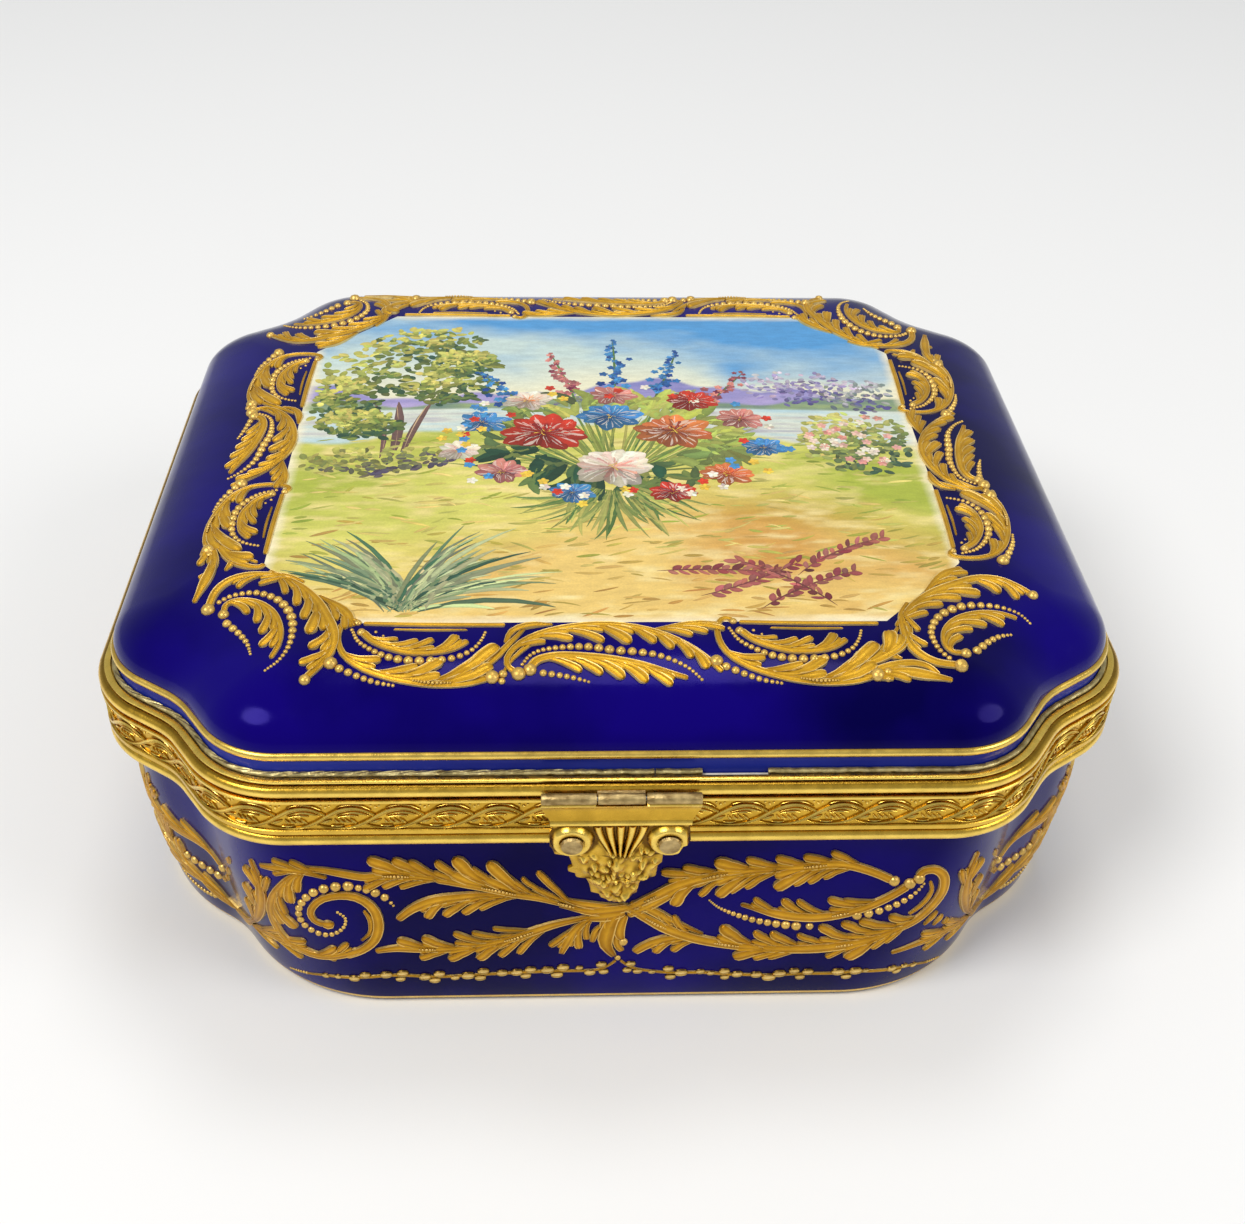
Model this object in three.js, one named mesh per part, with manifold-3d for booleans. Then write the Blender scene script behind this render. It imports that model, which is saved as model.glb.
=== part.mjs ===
// Porcelain jewelry box: a hollow body and a domed lid of glazed porcelain, each bedded in a gilt
// brass mount, joined by a knuckle hinge at the back and closed by a drop clasp at the front.
// Millimetres, +Z up, the front faces -Y, the origin is the centre of the foot on the table.
import * as THREE from 'three';
import { mergeVertices } from 'three/addons/utils/BufferGeometryUtils.js';
import Module from 'manifold-3d';

const wasm = await Module();
wasm.setup();

// Plan outline at the lid's edge: straight sides, and an S-curve at each corner
const HALF_WIDTH = 120;
const HALF_DEPTH = 108;
const CORNER_CONVEX = 21;
const CORNER_CONCAVE = 26;
const CORNER_TURN = THREE.MathUtils.degToRad(55.5);
const CORNER_STRAIGHT = 8;
// The corners of the foot are softer
const FOOT_CONVEX = 42;
const FOOT_STRAIGHT = 3;
const CONVEX_STEPS = 5;
const CONCAVE_STEPS = 2;
const TIGHTEST_CORNER = 6;

// Heights above the table
const BODY_RIM_Z = 70.6;
const PARTING_Z = 73.1;
const LID_EDGE_Z = 83.4;
const DOME_RISE = 12.8;
const CROWN_RISE = 1.4;

// Porcelain
const BODY_WALL = 5.5;
const BODY_FLOOR_Z = 10;
const FLOOR_ROUND = 6;
const FOOT_RING_WIDTH = 7;
const FOOT_RECESS = 3;
const FOOT_TUCK = 0.8;
const FOOT_SLOPE = 1;
const FOOT_EDGE_HEIGHT = 3;
const BODY_SWELL = 1.4;
const NECK_INSET = 0.6;
const SWELL_Z = 14;
const NECK_Z = 56;
const NECK_TURN = 6;
const SWELL_SOFTEN = 0.85;
const MIDDLE_SOFTEN = 0.4;
const NECK_SOFTEN = 0.1;
const LID_WALL = 5.4;
const DOME_ROLL = 28;
const EDGE_BEAD = 0.9;
const EDGE_BEAD_HEIGHT = 2.6;
const INSET_STEPS = [0, 0.25, 1, 2.8, 6, 11, 18];

// Raised gilding: height over the glaze, and how deep its foot is joined into the porcelain
const GILDING_HEIGHT = 0.7;
const GILDING_ROOT = 0.7;
const GILDING_SPREAD = 1.8;
const PANEL_HALF_WIDTH = 83;
const PANEL_HALF_DEPTH = 76.5;
const CARTOUCHE_STEP = 86.5;

// Mounts and their bedding
const GAP = 0.3;
const BEDDING = 0.8;
const BEDDING_RECESS = 1;
const MOUNT_OUT = 4.9;
const FLANGE = 1.2;
const BASE_MOUNT_HEIGHT = 14.5;
const BEAD_HEIGHT = 3.3;
const GROOVE_HEIGHT = 0.7;
const GROOVE_SINK = 0.2;
const FILLET_HEIGHT = 1.5;
const TOP_FILLET_HEIGHT = 0.9;
const FRIEZE_SINK = 0.8;
const LID_MOUNT_HEIGHT = 4;
const TORUS_RADIUS = 1.6;
const LID_FILLET_INSET = 0.7;
const LID_FILLET_FLARE = 0.4;
const COLLAR_HEIGHT = 1.2;
const COLLAR_THICKNESS = 1.1;
const COLLAR_LEDGE = 0.8;
const COLLAR_BREAKS = [-17.9, 7.6, 18.2, 33];

// Back hinge
const HINGE_RADIUS = 2.6;
const HINGE_PIN_RADIUS = 1.2;
const HINGE_PIN_OVERHANG = 1;
const KNUCKLE_COUNT = 5;
const KNUCKLE_LENGTH = 14;
const LEAF_THICKNESS = 1;
const LEAF_EAR = 9;
const BASE_LEAF_DROP = 7.4;
const LID_LEAF_RISE = 4.4;
const RIVET_SHANK = 0.8;
const RIVET_HEAD = 1.5;
const RIVET_HEAD_HEIGHT = 0.6;
const RIVET_GRIP = 2.6;

// Drop clasp
const CLASP_WIDTH = 35.6;
const LUG_WIDTH = 10.6;
const CLASP_KNUCKLE = 1.3;
const CLASP_PIN_RADIUS = 0.5;
const CLASP_AXIS_ABOVE_PARTING = 3.15;
const CLASP_STANDOFF = 1.8;
const PLATE_DROP = 7.5;
const PLATE_FOOT_WIDTH = 31.5;
const PLATE_THICKNESS = 2;
const LEAF_HEIGHT = 28.3;
const LEAF_DEPTH = 2.2;
const VOLUTE_PROUD = 0.4;
const LEAF_LEAN = THREE.MathUtils.degToRad(6);
const LEAF_SHOULDER = 3;
const LEAF_RIB_RADIUS = 3.2;
// Foliage beside the tip: distance from the middle, share of the height and radius
const LEAF_LOBES = [[10.4, 0.52, 2.4], [7.6, 0.65, 2.5], [5, 0.79, 2.5], [2.3, 0.9, 2.4]];
const VOLUTE_RADIUS = 5;
const VOLUTE_SPREAD = 11;
const VOLUTE_DROP = 4.9;
const DISC_RADIUS = 2.65;
const DISC_HEIGHT = 0.7;
const CLASP_RIVET_SHANK = 1.1;
const CLASP_RIVET_TAIL = 1.5;
const CLASP_RIVET_TAIL_HEIGHT = 0.3;
const SPRING_THICKNESS = 0.4;
const SPRING_WIDTH = 8;
const SPRING_EAR = 3.2;
const TONGUE_MARGIN = 2;
const KEEPER_RADIUS = 1.6;
const KEEPER_DROP = 4.8;
const KEEPER_CLEARANCE = 0.6;
const KEEPER_SHORTFALL = 0.9;
const KEEPER_SET_IN = 1.2;
const ROUND_STEPS = 16;
// How far cutting tools reach past what they cut
const PAST = 1;
const FAR_PAST = 4;

const GLAZE = { color: 0x0a0a7a, roughness: 0.08, metalness: 0 };
const GILT = { color: 0xc79a3a, roughness: 0.32, metalness: 1 };
const WORN_BRASS = { color: 0x8f8450, roughness: 0.5, metalness: 1 };
const PLASTER = { color: 0xd8cfbb, roughness: 0.9, metalness: 0 };
const STEEL = { color: 0x8c8c88, roughness: 0.35, metalness: 1 };

const box = new THREE.Group();

function addMesh(name, geometry, finish, parent = box) {
  const mesh = new THREE.Mesh(geometry, new THREE.MeshStandardMaterial(finish));
  mesh.name = name;
  parent.add(mesh);
  return mesh;
}

// Solids are joined and cut as closed meshes whose shared corners are merged
function toSolid(geometry) {
  const bare = geometry.clone();
  bare.deleteAttribute('normal');
  bare.deleteAttribute('uv');
  const merged = mergeVertices(bare, 1e-4);
  return new wasm.Manifold(new wasm.Mesh({
    numProp: 3,
    vertProperties: new Float32Array(merged.attributes.position.array),
    triVerts: new Uint32Array(merged.index.array),
  }));
}

function toGeometry(solid) {
  const mesh = solid.getMesh();
  const geometry = new THREE.BufferGeometry();
  geometry.setAttribute('position', new THREE.BufferAttribute(mesh.vertProperties, 3));
  geometry.setIndex(new THREE.BufferAttribute(mesh.triVerts, 1));
  geometry.computeVertexNormals();
  return geometry;
}

function join(...geometries) {
  return toGeometry(geometries.map(toSolid).reduce((whole, piece) => whole.add(piece)));
}

function cut(geometry, ...tools) {
  return toGeometry(tools.map(toSolid).reduce((whole, tool) => whole.subtract(tool), toSolid(geometry)));
}

function block(x0, x1, y0, y1, z0, z1) {
  const geometry = new THREE.BoxGeometry(x1 - x0, y1 - y0, z1 - z0);
  return geometry.translate((x0 + x1) / 2, (y0 + y1) / 2, (z0 + z1) / 2);
}

// A round bar along X between x0 and x1
function barX(radius, x0, x1, y, z, steps = ROUND_STEPS) {
  const geometry = new THREE.CylinderGeometry(radius, radius, x1 - x0, steps);
  return geometry.rotateZ(Math.PI / 2).translate((x0 + x1) / 2, y, z);
}

// A round bar along Y between y0 and y1
function barY(radius, y0, y1, x, z, steps = ROUND_STEPS, farRadius = radius) {
  const geometry = new THREE.CylinderGeometry(farRadius, radius, y1 - y0, steps);
  return geometry.translate(x, (y0 + y1) / 2, z);
}

// One corner as seen from above, from the end of the front side to the middle of the hollow:
// a convex arc, a short straight and half of a concave arc, each as offsets along the front (u)
// and towards the back (v). The other half mirrors it about the corner's diagonal.
function halfCorner(convex, straight, concave) {
  const points = [];
  for (let i = 0; i <= CONVEX_STEPS; i++) {
    const turn = (CORNER_TURN * i) / CONVEX_STEPS;
    points.push([convex * Math.sin(turn), convex * (1 - Math.cos(turn))]);
  }
  const [u0, v0] = points[points.length - 1];
  const u1 = u0 + straight * Math.cos(CORNER_TURN);
  const v1 = v0 + straight * Math.sin(CORNER_TURN);
  for (let i = 0; i <= CONCAVE_STEPS; i++) {
    const turn = CORNER_TURN + ((Math.PI / 4 - CORNER_TURN) * i) / CONCAVE_STEPS;
    points.push([
      u1 + concave * (Math.sin(CORNER_TURN) - Math.sin(turn)),
      v1 + concave * (Math.cos(turn) - Math.cos(CORNER_TURN)),
    ]);
  }
  return points;
}

// The plan outline moved outwards by offset, counter-clockwise from above.
// soften runs from 0 at the mounts to 1 at the foot.
function outline(offset, soften = 0) {
  const mix = THREE.MathUtils.lerp;
  const convex = Math.max(mix(CORNER_CONVEX, FOOT_CONVEX, soften) + offset, TIGHTEST_CORNER);
  const straight = mix(CORNER_STRAIGHT, FOOT_STRAIGHT, soften);
  const half = halfCorner(convex, straight, CORNER_CONCAVE - offset);
  const [u, v] = half[half.length - 1];
  const a = HALF_WIDTH + offset;
  const b = HALF_DEPTH + offset;
  const first = half.map(([du, dv]) => [a - u - v + du, -b + dv]);
  const second = first.slice(0, -1).map(([x, y]) => [a - (y + b), -b + (a - x)]).reverse();
  const corner = first.concat(second);
  const back = corner.map(([x, y]) => [x, -y]).reverse();
  const leftBack = corner.map(([x, y]) => [-x, -y]);
  const leftFront = corner.map(([x, y]) => [-x, y]).reverse();
  return corner.concat(back, leftBack, leftFront);
}

// A skin of rings, each ring a plan outline at one height. profile lists [offset, z, soften],
// going up on the outside, so faces point outwards. A closed profile makes a ring-shaped body,
// an open one is closed by a centre point at each end, at the heights startZ and endZ.
function ringBody(profile, startZ = null, endZ = null) {
  const rings = profile.map(([offset, z, soften]) => outline(offset, soften).map(([x, y]) => [x, y, z]));
  const around = rings[0].length;
  const positions = rings.flat(2);
  const indices = [];
  const closed = startZ === null;
  const last = rings.length - 1;
  for (let k = 0; k < (closed ? rings.length : last); k++) {
    const next = (k + 1) % rings.length;
    for (let i = 0; i < around; i++) {
      const j = (i + 1) % around;
      const [a, b, c, d] = [k * around + i, k * around + j, next * around + j, next * around + i];
      indices.push(a, b, c, a, c, d);
    }
  }
  if (!closed) {
    const start = positions.length / 3;
    positions.push(0, 0, startZ, 0, 0, endZ);
    for (let i = 0; i < around; i++) {
      const j = (i + 1) % around;
      indices.push(start, j, i, start + 1, last * around + i, last * around + j);
    }
  }
  const geometry = new THREE.BufferGeometry();
  geometry.setAttribute('position', new THREE.Float32BufferAttribute(positions, 3));
  geometry.setIndex(indices);
  geometry.computeVertexNormals();
  return geometry;
}

// Points of an arc in a moulding's section, as [offset, z]
function arc(centreOffset, centreZ, radius, fromDegrees, toDegrees, steps) {
  return Array.from({ length: steps + 1 }, (_, i) => {
    const angle = THREE.MathUtils.degToRad(fromDegrees + ((toDegrees - fromDegrees) * i) / steps);
    return [centreOffset + radius * Math.cos(angle), centreZ + radius * Math.sin(angle)];
  });
}

// Body: foot ring, gently swelling walls, a straight neck inside the mount, hollow inside
const neck = -NECK_INSET;
const neckInside = neck - BODY_WALL;
const footInside = -FOOT_TUCK - FOOT_RING_WIDTH;
const middleZ = (SWELL_Z + NECK_Z) / 2;
const wallRows = [
  [BODY_SWELL / 2, FOOT_EDGE_HEIGHT, 1],
  [BODY_SWELL, SWELL_Z, SWELL_SOFTEN],
  [BODY_SWELL * 0.75, middleZ, MIDDLE_SOFTEN],
  [neck / 2, NECK_Z - NECK_TURN, NECK_SOFTEN],
  [neck, NECK_Z, 0],
];
const bodyPorcelain = ringBody([
  [footInside - FOOT_SLOPE, FOOT_RECESS, 1],
  [footInside, 0, 1],
  [-FOOT_TUCK, 0, 1],
  ...wallRows,
  [neck, BODY_RIM_Z, 0],
  [neckInside, BODY_RIM_Z, 0],
  [neckInside, NECK_Z, 0],
  [neckInside, middleZ, MIDDLE_SOFTEN],
  [neckInside, BODY_FLOOR_Z + FLOOR_ROUND, SWELL_SOFTEN],
  [neckInside - FLOOR_ROUND * 0.3, BODY_FLOOR_Z + FLOOR_ROUND * 0.3, SWELL_SOFTEN],
  [neckInside - FLOOR_ROUND, BODY_FLOOR_Z, SWELL_SOFTEN],
], FOOT_RECESS, BODY_FLOOR_Z);

// Base mount: lower bead, groove, fillet, sunk frieze land, top fillet and a flange over the rim
const mountInside = neck + GAP + BEDDING + GAP;
const flangeInside = neckInside - GAP;
const mountFootZ = PARTING_Z - BASE_MOUNT_HEIGHT;
const beadRadius = BEAD_HEIGHT / 2;
const beadOut = MOUNT_OUT - beadRadius - GAP;
const filletZ = mountFootZ + BEAD_HEIGHT + GROOVE_HEIGHT;
const friezeFootZ = filletZ + FILLET_HEIGHT;
const topFilletZ = PARTING_Z - TOP_FILLET_HEIGHT;
const friezeOut = MOUNT_OUT - FRIEZE_SINK;
let baseMount = ringBody([
  [mountInside, mountFootZ + GAP],
  ...arc(beadOut, mountFootZ + beadRadius, beadRadius, -90, 80, 5),
  [beadOut - GROOVE_SINK, filletZ],
  [MOUNT_OUT - GAP, filletZ],
  [MOUNT_OUT - GAP, friezeFootZ],
  [friezeOut, friezeFootZ],
  [friezeOut, topFilletZ],
  [MOUNT_OUT, topFilletZ],
  [MOUNT_OUT, PARTING_Z],
  [flangeInside, PARTING_Z],
  [flangeInside, PARTING_Z - FLANGE],
  [mountInside, PARTING_Z - FLANGE],
]);

// Plaster between the body's rim and its mount
const beddingTop = PARTING_Z - FLANGE - GAP;
const beddingFootZ = mountFootZ + BEDDING_RECESS;
addMesh('body_bedding', ringBody([
  [neck + GAP, beddingFootZ],
  [neck + GAP + BEDDING, beddingFootZ],
  [neck + GAP + BEDDING, beddingTop],
  [neckInside + BEDDING_RECESS, beddingTop],
  [neckInside + BEDDING_RECESS, BODY_RIM_Z + GAP],
  [neck + GAP, BODY_RIM_Z + GAP],
]), PLASTER);

// Lid mount: flange under the lid's rim, half-round torus, groove, fillet and collar ledge
const lidFootZ = PARTING_Z + GAP;
const lidMountTop = lidFootZ + LID_MOUNT_HEIGHT;
const ledgeZ = lidMountTop - COLLAR_LEDGE;
const lidMountInside = GAP + BEDDING + GAP;
const collarOut = GAP + COLLAR_THICKNESS;
const torusOut = MOUNT_OUT - TORUS_RADIUS;
const grooveOut = (collarOut + MOUNT_OUT) / 2 - LID_FILLET_INSET;
let lidMount = ringBody([
  [flangeInside, lidFootZ],
  [torusOut, lidFootZ],
  ...arc(torusOut, lidFootZ + TORUS_RADIUS, TORUS_RADIUS, -60, 80, 5),
  [grooveOut, lidMountTop - COLLAR_LEDGE],
  [grooveOut + LID_FILLET_FLARE, lidMountTop - COLLAR_LEDGE / 2],
  [grooveOut + LID_FILLET_FLARE / 2, lidMountTop],
  [collarOut + GAP, lidMountTop],
  [collarOut + GAP, ledgeZ],
  [lidMountInside, ledgeZ],
  [lidMountInside, lidFootZ + FLANGE],
  [flangeInside, lidFootZ + FLANGE],
]);

// Lid: a rim inside the mount, a rounded edge bead, a rolled shoulder and a nearly flat crown
const lidRimZ = lidFootZ + FLANGE + GAP + BEDDING / 2 + GAP;
const edgeFootZ = LID_EDGE_Z - EDGE_BEAD_HEIGHT;
function shoulder(inset, drop = 0) {
  const reach = 1 - inset / DOME_ROLL;
  return [-inset - drop, LID_EDGE_Z - drop + DOME_RISE * Math.sqrt(1 - reach * reach)];
}
const crownEdge = [-HALF_DEPTH / 2, LID_EDGE_Z + DOME_RISE + CROWN_RISE * 0.75];
const lidPorcelain = ringBody([
  [crownEdge[0], crownEdge[1] - LID_WALL],
  [-DOME_ROLL - LID_WALL, LID_EDGE_Z + DOME_RISE - LID_WALL],
  ...INSET_STEPS.slice(2).reverse().map((inset) => shoulder(inset, LID_WALL)),
  [-LID_WALL, lidRimZ],
  [0, lidRimZ],
  [0, edgeFootZ],
  [EDGE_BEAD * 0.8, edgeFootZ + EDGE_BEAD_HEIGHT * 0.2],
  [EDGE_BEAD, edgeFootZ + EDGE_BEAD_HEIGHT * 0.55],
  ...INSET_STEPS.map((inset) => shoulder(inset)),
  [-DOME_ROLL, LID_EDGE_Z + DOME_RISE],
  crownEdge,
], LID_EDGE_Z + DOME_RISE + CROWN_RISE - LID_WALL, LID_EDGE_Z + DOME_RISE + CROWN_RISE);

// Raised gilding. A stroke is [half-width, [place], [place], ...]. Each main scroll and leaf is a
// low ridge with a sunk root. pointAt carries a place to the porcelain's surface.
function ridge(halfWidth, places, pointAt) {
  const count = places.length;
  const positions = [];
  places.forEach(([u, v], i) => {
    const [u0, v0] = places[Math.max(i - 1, 0)];
    const [u1, v1] = places[Math.min(i + 1, count - 1)];
    const along = pointAt(u1, v1).sub(pointAt(u0, v0)).normalize();
    const across = pointAt(u + 1, v).sub(pointAt(u - 1, v));
    const up = across.cross(pointAt(u, v + 1).sub(pointAt(u, v - 1))).normalize();
    const right = along.clone().cross(up).normalize();
    const half = GILDING_SPREAD * halfWidth * (i === 0 || i === count - 1 ? 0.5 : 1);
    for (const [side, lift] of [[half, -GILDING_ROOT], [0, GILDING_HEIGHT], [-half, -GILDING_ROOT]]) {
      const point = pointAt(u, v).addScaledVector(right, side).addScaledVector(up, lift);
      positions.push(point.x, point.y, point.z);
    }
  });
  const last = (count - 1) * 3;
  const indices = [0, 1, 2, last, last + 2, last + 1];
  for (let i = 0; i < last; i += 3) {
    for (let k = 0; k < 3; k++) {
      const next = (k + 1) % 3;
      indices.push(i + k, i + 3 + k, i + 3 + next, i + k, i + 3 + next, i + next);
    }
  }
  const geometry = new THREE.BufferGeometry();
  geometry.setAttribute('position', new THREE.Float32BufferAttribute(positions, 3));
  geometry.setIndex(indices);
  return geometry;
}

function gild(porcelain, strokes, pointAt) {
  return join(porcelain, ...strokes.map(([halfWidth, ...places]) => ridge(halfWidth, places, pointAt)));
}

function carried(strokes, carry) {
  return strokes.map(([halfWidth, ...places]) => [halfWidth, ...places.map(carry)]);
}

// On the lid a place is a point of the plan. The border is drawn for the front and its left corner
const lidTarget = new THREE.Mesh(lidPorcelain, new THREE.MeshBasicMaterial());
const downwards = new THREE.Vector3(0, 0, -1);
function lidPoint(x, y) {
  const above = new THREE.Vector3(x, y, LID_EDGE_Z + 2 * DOME_RISE);
  return new THREE.Raycaster(above, downwards).intersectObject(lidTarget)[0].point.clone();
}
const cartouche = [
  [0.8, [-59.5, -78.2], [-25.5, -78.9]],
  [1.5, [-62.2, -78.1], [-63.6, -84], [-60.5, -90.8], [-54.9, -94.2], [-46.7, -96.1], [-36, -97], [-26.3, -95]],
  [1.4, [-58.6, -81.4], [-54.6, -86], [-48, -88.5], [-39, -88], [-34.2, -84.9]],
];
const arch = [
  [1.8, [-23.2, -94.6], [-24.6, -89.4], [-20.6, -84.4], [-12.3, -80.8], [-1.1, -79], [7.2, -80], [15.4, -84],
    [20.6, -88.6], [24.6, -93.6]],
  [1.5, [-20, -93.2], [-15.1, -90.6], [-6.9, -90.5], [1.2, -92], [8, -95], [15.5, -97]],
  [1.4, [45, -95], [53.7, -94], [61, -91], [65, -86.2], [66, -79.3]],
];
const lidCorner = [
  [1.5, [-76, -62], [-84, -56.8], [-89.4, -59.3], [-93.9, -63.2], [-95.5, -71]],
  [1.9, [-82, -58], [-78.9, -60.4], [-73.1, -66.3], [-67.7, -73.9], [-65, -81.3], [-66, -89.3], [-69.8, -95.6]],
  [1.2, [-91.2, -72.8], [-88.6, -69], [-84, -70], [-79.4, -74.6], [-77.4, -81], [-78, -90]],
];
const lidCornerPlaces = [[-73, -65], [71.5, -70], [73, 65], [-71.5, 70]];
const quarterTurn = ([x, y], turns) => [[x, y], [-y, x], [-x, -y], [y, -x]][turns];
const lidStrokes = lidCornerPlaces.flatMap(([cornerX, cornerY], turns) => {
  const sideways = turns % 2 === 1;
  const carrySide = (shift) => ([x, y]) => {
    const out = -y - PANEL_HALF_DEPTH;
    if (sideways) return quarterTurn([0.83 * (x + shift), -(PANEL_HALF_WIDTH - 0.5 + 0.87 * out)], turns);
    return quarterTurn([x + shift, -(PANEL_HALF_DEPTH + (turns ? 0.85 : 1) * out)], turns);
  };
  const carryCorner = ([x, y]) => {
    const [u, v] = quarterTurn([x - lidCornerPlaces[0][0], y - lidCornerPlaces[0][1]], turns);
    return sideways ? [cornerX + 0.92 * u, cornerY + 1.04 * v] : [cornerX + u, cornerY + v];
  };
  return [...carried(cartouche, carrySide(0)), ...carried(cartouche, carrySide(CARTOUCHE_STEP)),
    ...carried(arch, carrySide(0)), ...carried(lidCorner, carryCorner)];
});
addMesh('lid_porcelain', gild(lidPorcelain, lidStrokes, lidPoint), GLAZE);

// On the body a place is a length along the outline and a height. Lengths are counted from one of
// eight anchors, the middles of sides and corners from the front counter-clockwise, and written
// as ANCHOR times the anchor's number plus the length.
const ANCHOR = 1000;
const wallRings = wallRows.map(([offset, z, soften]) => {
  const ring = outline(offset, soften);
  const points = [[0, ring[0][1]], ...ring, [0, ring[0][1]]].map(([x, y]) => new THREE.Vector3(x, y, z));
  const runs = [0];
  points.slice(1).forEach((point, i) => runs.push(runs[i] + point.distanceTo(points[i])));
  const length = runs[runs.length - 1];
  const quarter = length / 4;
  const corner = runs[CONVEX_STEPS + CONCAVE_STEPS + 2];
  const anchors = [0, 1, 2, 3].flatMap((turn) => [turn * quarter, turn * quarter + (turn % 2 ? quarter - corner : corner)]);
  return { z, points, runs, length, anchors };
});
function ringPoint({ points, runs, length, anchors }, place) {
  const anchor = Math.round(place / ANCHOR);
  const run = THREE.MathUtils.euclideanModulo(anchors[anchor] + place - ANCHOR * anchor, length);
  const i = Math.max(runs.findIndex((end) => end > run) - 1, 0);
  return points[i].clone().lerp(points[i + 1], (run - runs[i]) / (runs[i + 1] - runs[i]));
}
function wallPoint(place, z) {
  const row = Math.max(wallRings.findIndex((ring) => ring.z > z) - 1, 0);
  const [low, high] = [wallRings[row], wallRings[row + 1]];
  return ringPoint(low, place).lerp(ringPoint(high, place), (z - low.z) / (high.z - low.z));
}
const upperStem = [1.7, [-2, 34.6], [-12, 35], [-21, 37.2], [-39, 44], [-47, 46.6], [-58, 47.4]];
const upperLeaf = [1.8, [-22, 37.6], [-34, 38], [-43, 36.6], [-52, 33]];
const lowerBranch = [1.8, [-3, 33.4], [-12.5, 30.2], [-21.3, 25.6], [-31.5, 21.8], [-42, 20.8], [-57, 20.4]];
const garlandStem = [0.8, [-2, 14], [-14.5, 12.3], [-35, 11], [-54.6, 11], [-72, 8.8]];
const frontStrokes = [upperStem, upperLeaf, lowerBranch, garlandStem,
  [2, [-59, 47], [-66, 45.6], [-75, 43.2], [-80.5, 38], [-83, 29.6], [-81, 21.8], [-74.6, 18], [-66.4, 19],
    [-60, 23], [-57, 30.3], [-59.4, 36.4], [-64.8, 38.8], [-70, 37.4], [-72.4, 33], [-69, 30]],
  [1.8, [-1, 33], [-1.6, 26], [-0.2, 18]],
  [1.8, [2, 35.2], [10, 40], [19, 43.2], [30, 45.6], [46, 47.2], [58, 46], [65.5, 42.4]],
  [1.8, [69.5, 40.7], [67, 37.2], [62, 34.2], [54, 32.4], [46, 31.8], [37, 33], [30, 35]],
  [1.8, [2, 33.6], [11, 26.8], [19, 23.6], [27, 21.1], [35.7, 19.6], [46, 19.6], [56.4, 21.4], [63, 24], [69, 27.6],
    [74.5, 33.6], [77.4, 38], [77, 42.4], [72, 44]],
  [0.8, [3, 14], [13, 11.2], [28, 10], [45.6, 10], [60, 10.8], [76, 8]],
];
const sideHalf = [
  [1.8, [-97, 28.5], [-93, 32], [-84, 33.6], [-74, 35.2], [-65, 39.4], [-57, 47]],
  [0.9, [-92.6, 21.4], [-82, 22.8], [-72, 27], [-65, 34]],
  [1.8, [-96, 10.6], [-87.6, 14.4], [-76, 16.6], [-67.6, 19.6], [-60.6, 24.8], [-56, 31.6], [-54.6, 39]],
  ...[upperStem, upperLeaf, lowerBranch].map(([halfWidth, ...places]) => (
    [halfWidth, ...places.map(([x, z]) => [0.86 * x, z])])),
];
const cornerHalf = [
  [1.7, [-11.5, 15.6], [-16, 22], [-20.4, 31], [-22, 39.6], [-20.6, 46.6]],
  [1.4, [-10, 14], [-15.5, 14.8], [-21, 19], [-28, 19.8], [-39, 16.8]],
  [1.2, [0, 10.2], [-5, 10.8], [-9.5, 13.4], [-13, 18]],
];
const anchored = (anchor, mirror) => ([x, z]) => [ANCHOR * anchor + mirror * x, z];
const bodyStrokes = [...frontStrokes];
for (const anchor of [1, 2, 3, 4, 5, 6, 7]) {
  for (const mirror of [1, -1]) {
    bodyStrokes.push(...carried(anchor % 2 ? cornerHalf : sideHalf, anchored(anchor, mirror)));
  }
}
addMesh('body_porcelain', gild(bodyPorcelain, bodyStrokes, wallPoint), GLAZE);

addMesh('lid_bedding', ringBody([
  [-LID_WALL + BEDDING_RECESS, lidFootZ + FLANGE + GAP],
  [GAP + BEDDING, lidFootZ + FLANGE + GAP],
  [GAP + BEDDING, ledgeZ],
  [GAP, ledgeZ],
  [GAP, lidRimZ - GAP],
  [-LID_WALL + BEDDING_RECESS, lidRimZ - GAP],
]), PLASTER);

// Crimped collar over the lid's rim, in three lengths that leave an open stretch at the front
const collarRing = ringBody([
  [GAP, ledgeZ + GAP],
  [collarOut, ledgeZ + GAP],
  [collarOut, ledgeZ + GAP + COLLAR_HEIGHT * 0.6],
  [collarOut * 0.7, ledgeZ + GAP + COLLAR_HEIGHT],
  [GAP, ledgeZ + GAP + COLLAR_HEIGHT],
]);
const [patchStart, patchJoint, patchEnd, collarStart] = COLLAR_BREAKS;
function frontStrip(x0, x1) {
  return block(x0, x1, -HALF_DEPTH - MOUNT_OUT, -HALF_DEPTH + LID_WALL, PARTING_Z, LID_EDGE_Z);
}
const collarPatch = (x0, x1) => toGeometry(toSolid(collarRing).intersect(toSolid(frontStrip(x0, x1))));
addMesh('collar_patch_left', collarPatch(patchStart + GAP, patchJoint - GAP / 2), WORN_BRASS);
addMesh('collar_patch_right', collarPatch(patchJoint + GAP / 2, patchEnd), WORN_BRASS);
addMesh('collar_main', cut(collarRing, frontStrip(patchStart, collarStart)), WORN_BRASS);

// Back hinge: leaves riveted to the flat backs of the mounts, five knuckles on one pin
const leafInside = HALF_DEPTH + MOUNT_OUT + GAP;
const hingeY = leafInside + HINGE_RADIUS;
const hingeZ = PARTING_Z + GAP / 2;
const hingeHalf = (KNUCKLE_COUNT * KNUCKLE_LENGTH) / 2;
const leafHalf = hingeHalf + LEAF_EAR;
const pinBore = HINGE_PIN_RADIUS + GAP;
const knuckleSpan = (i) => {
  const start = -hingeHalf + i * KNUCKLE_LENGTH;
  return [start + GAP / 2, start + KNUCKLE_LENGTH - GAP / 2];
};

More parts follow.
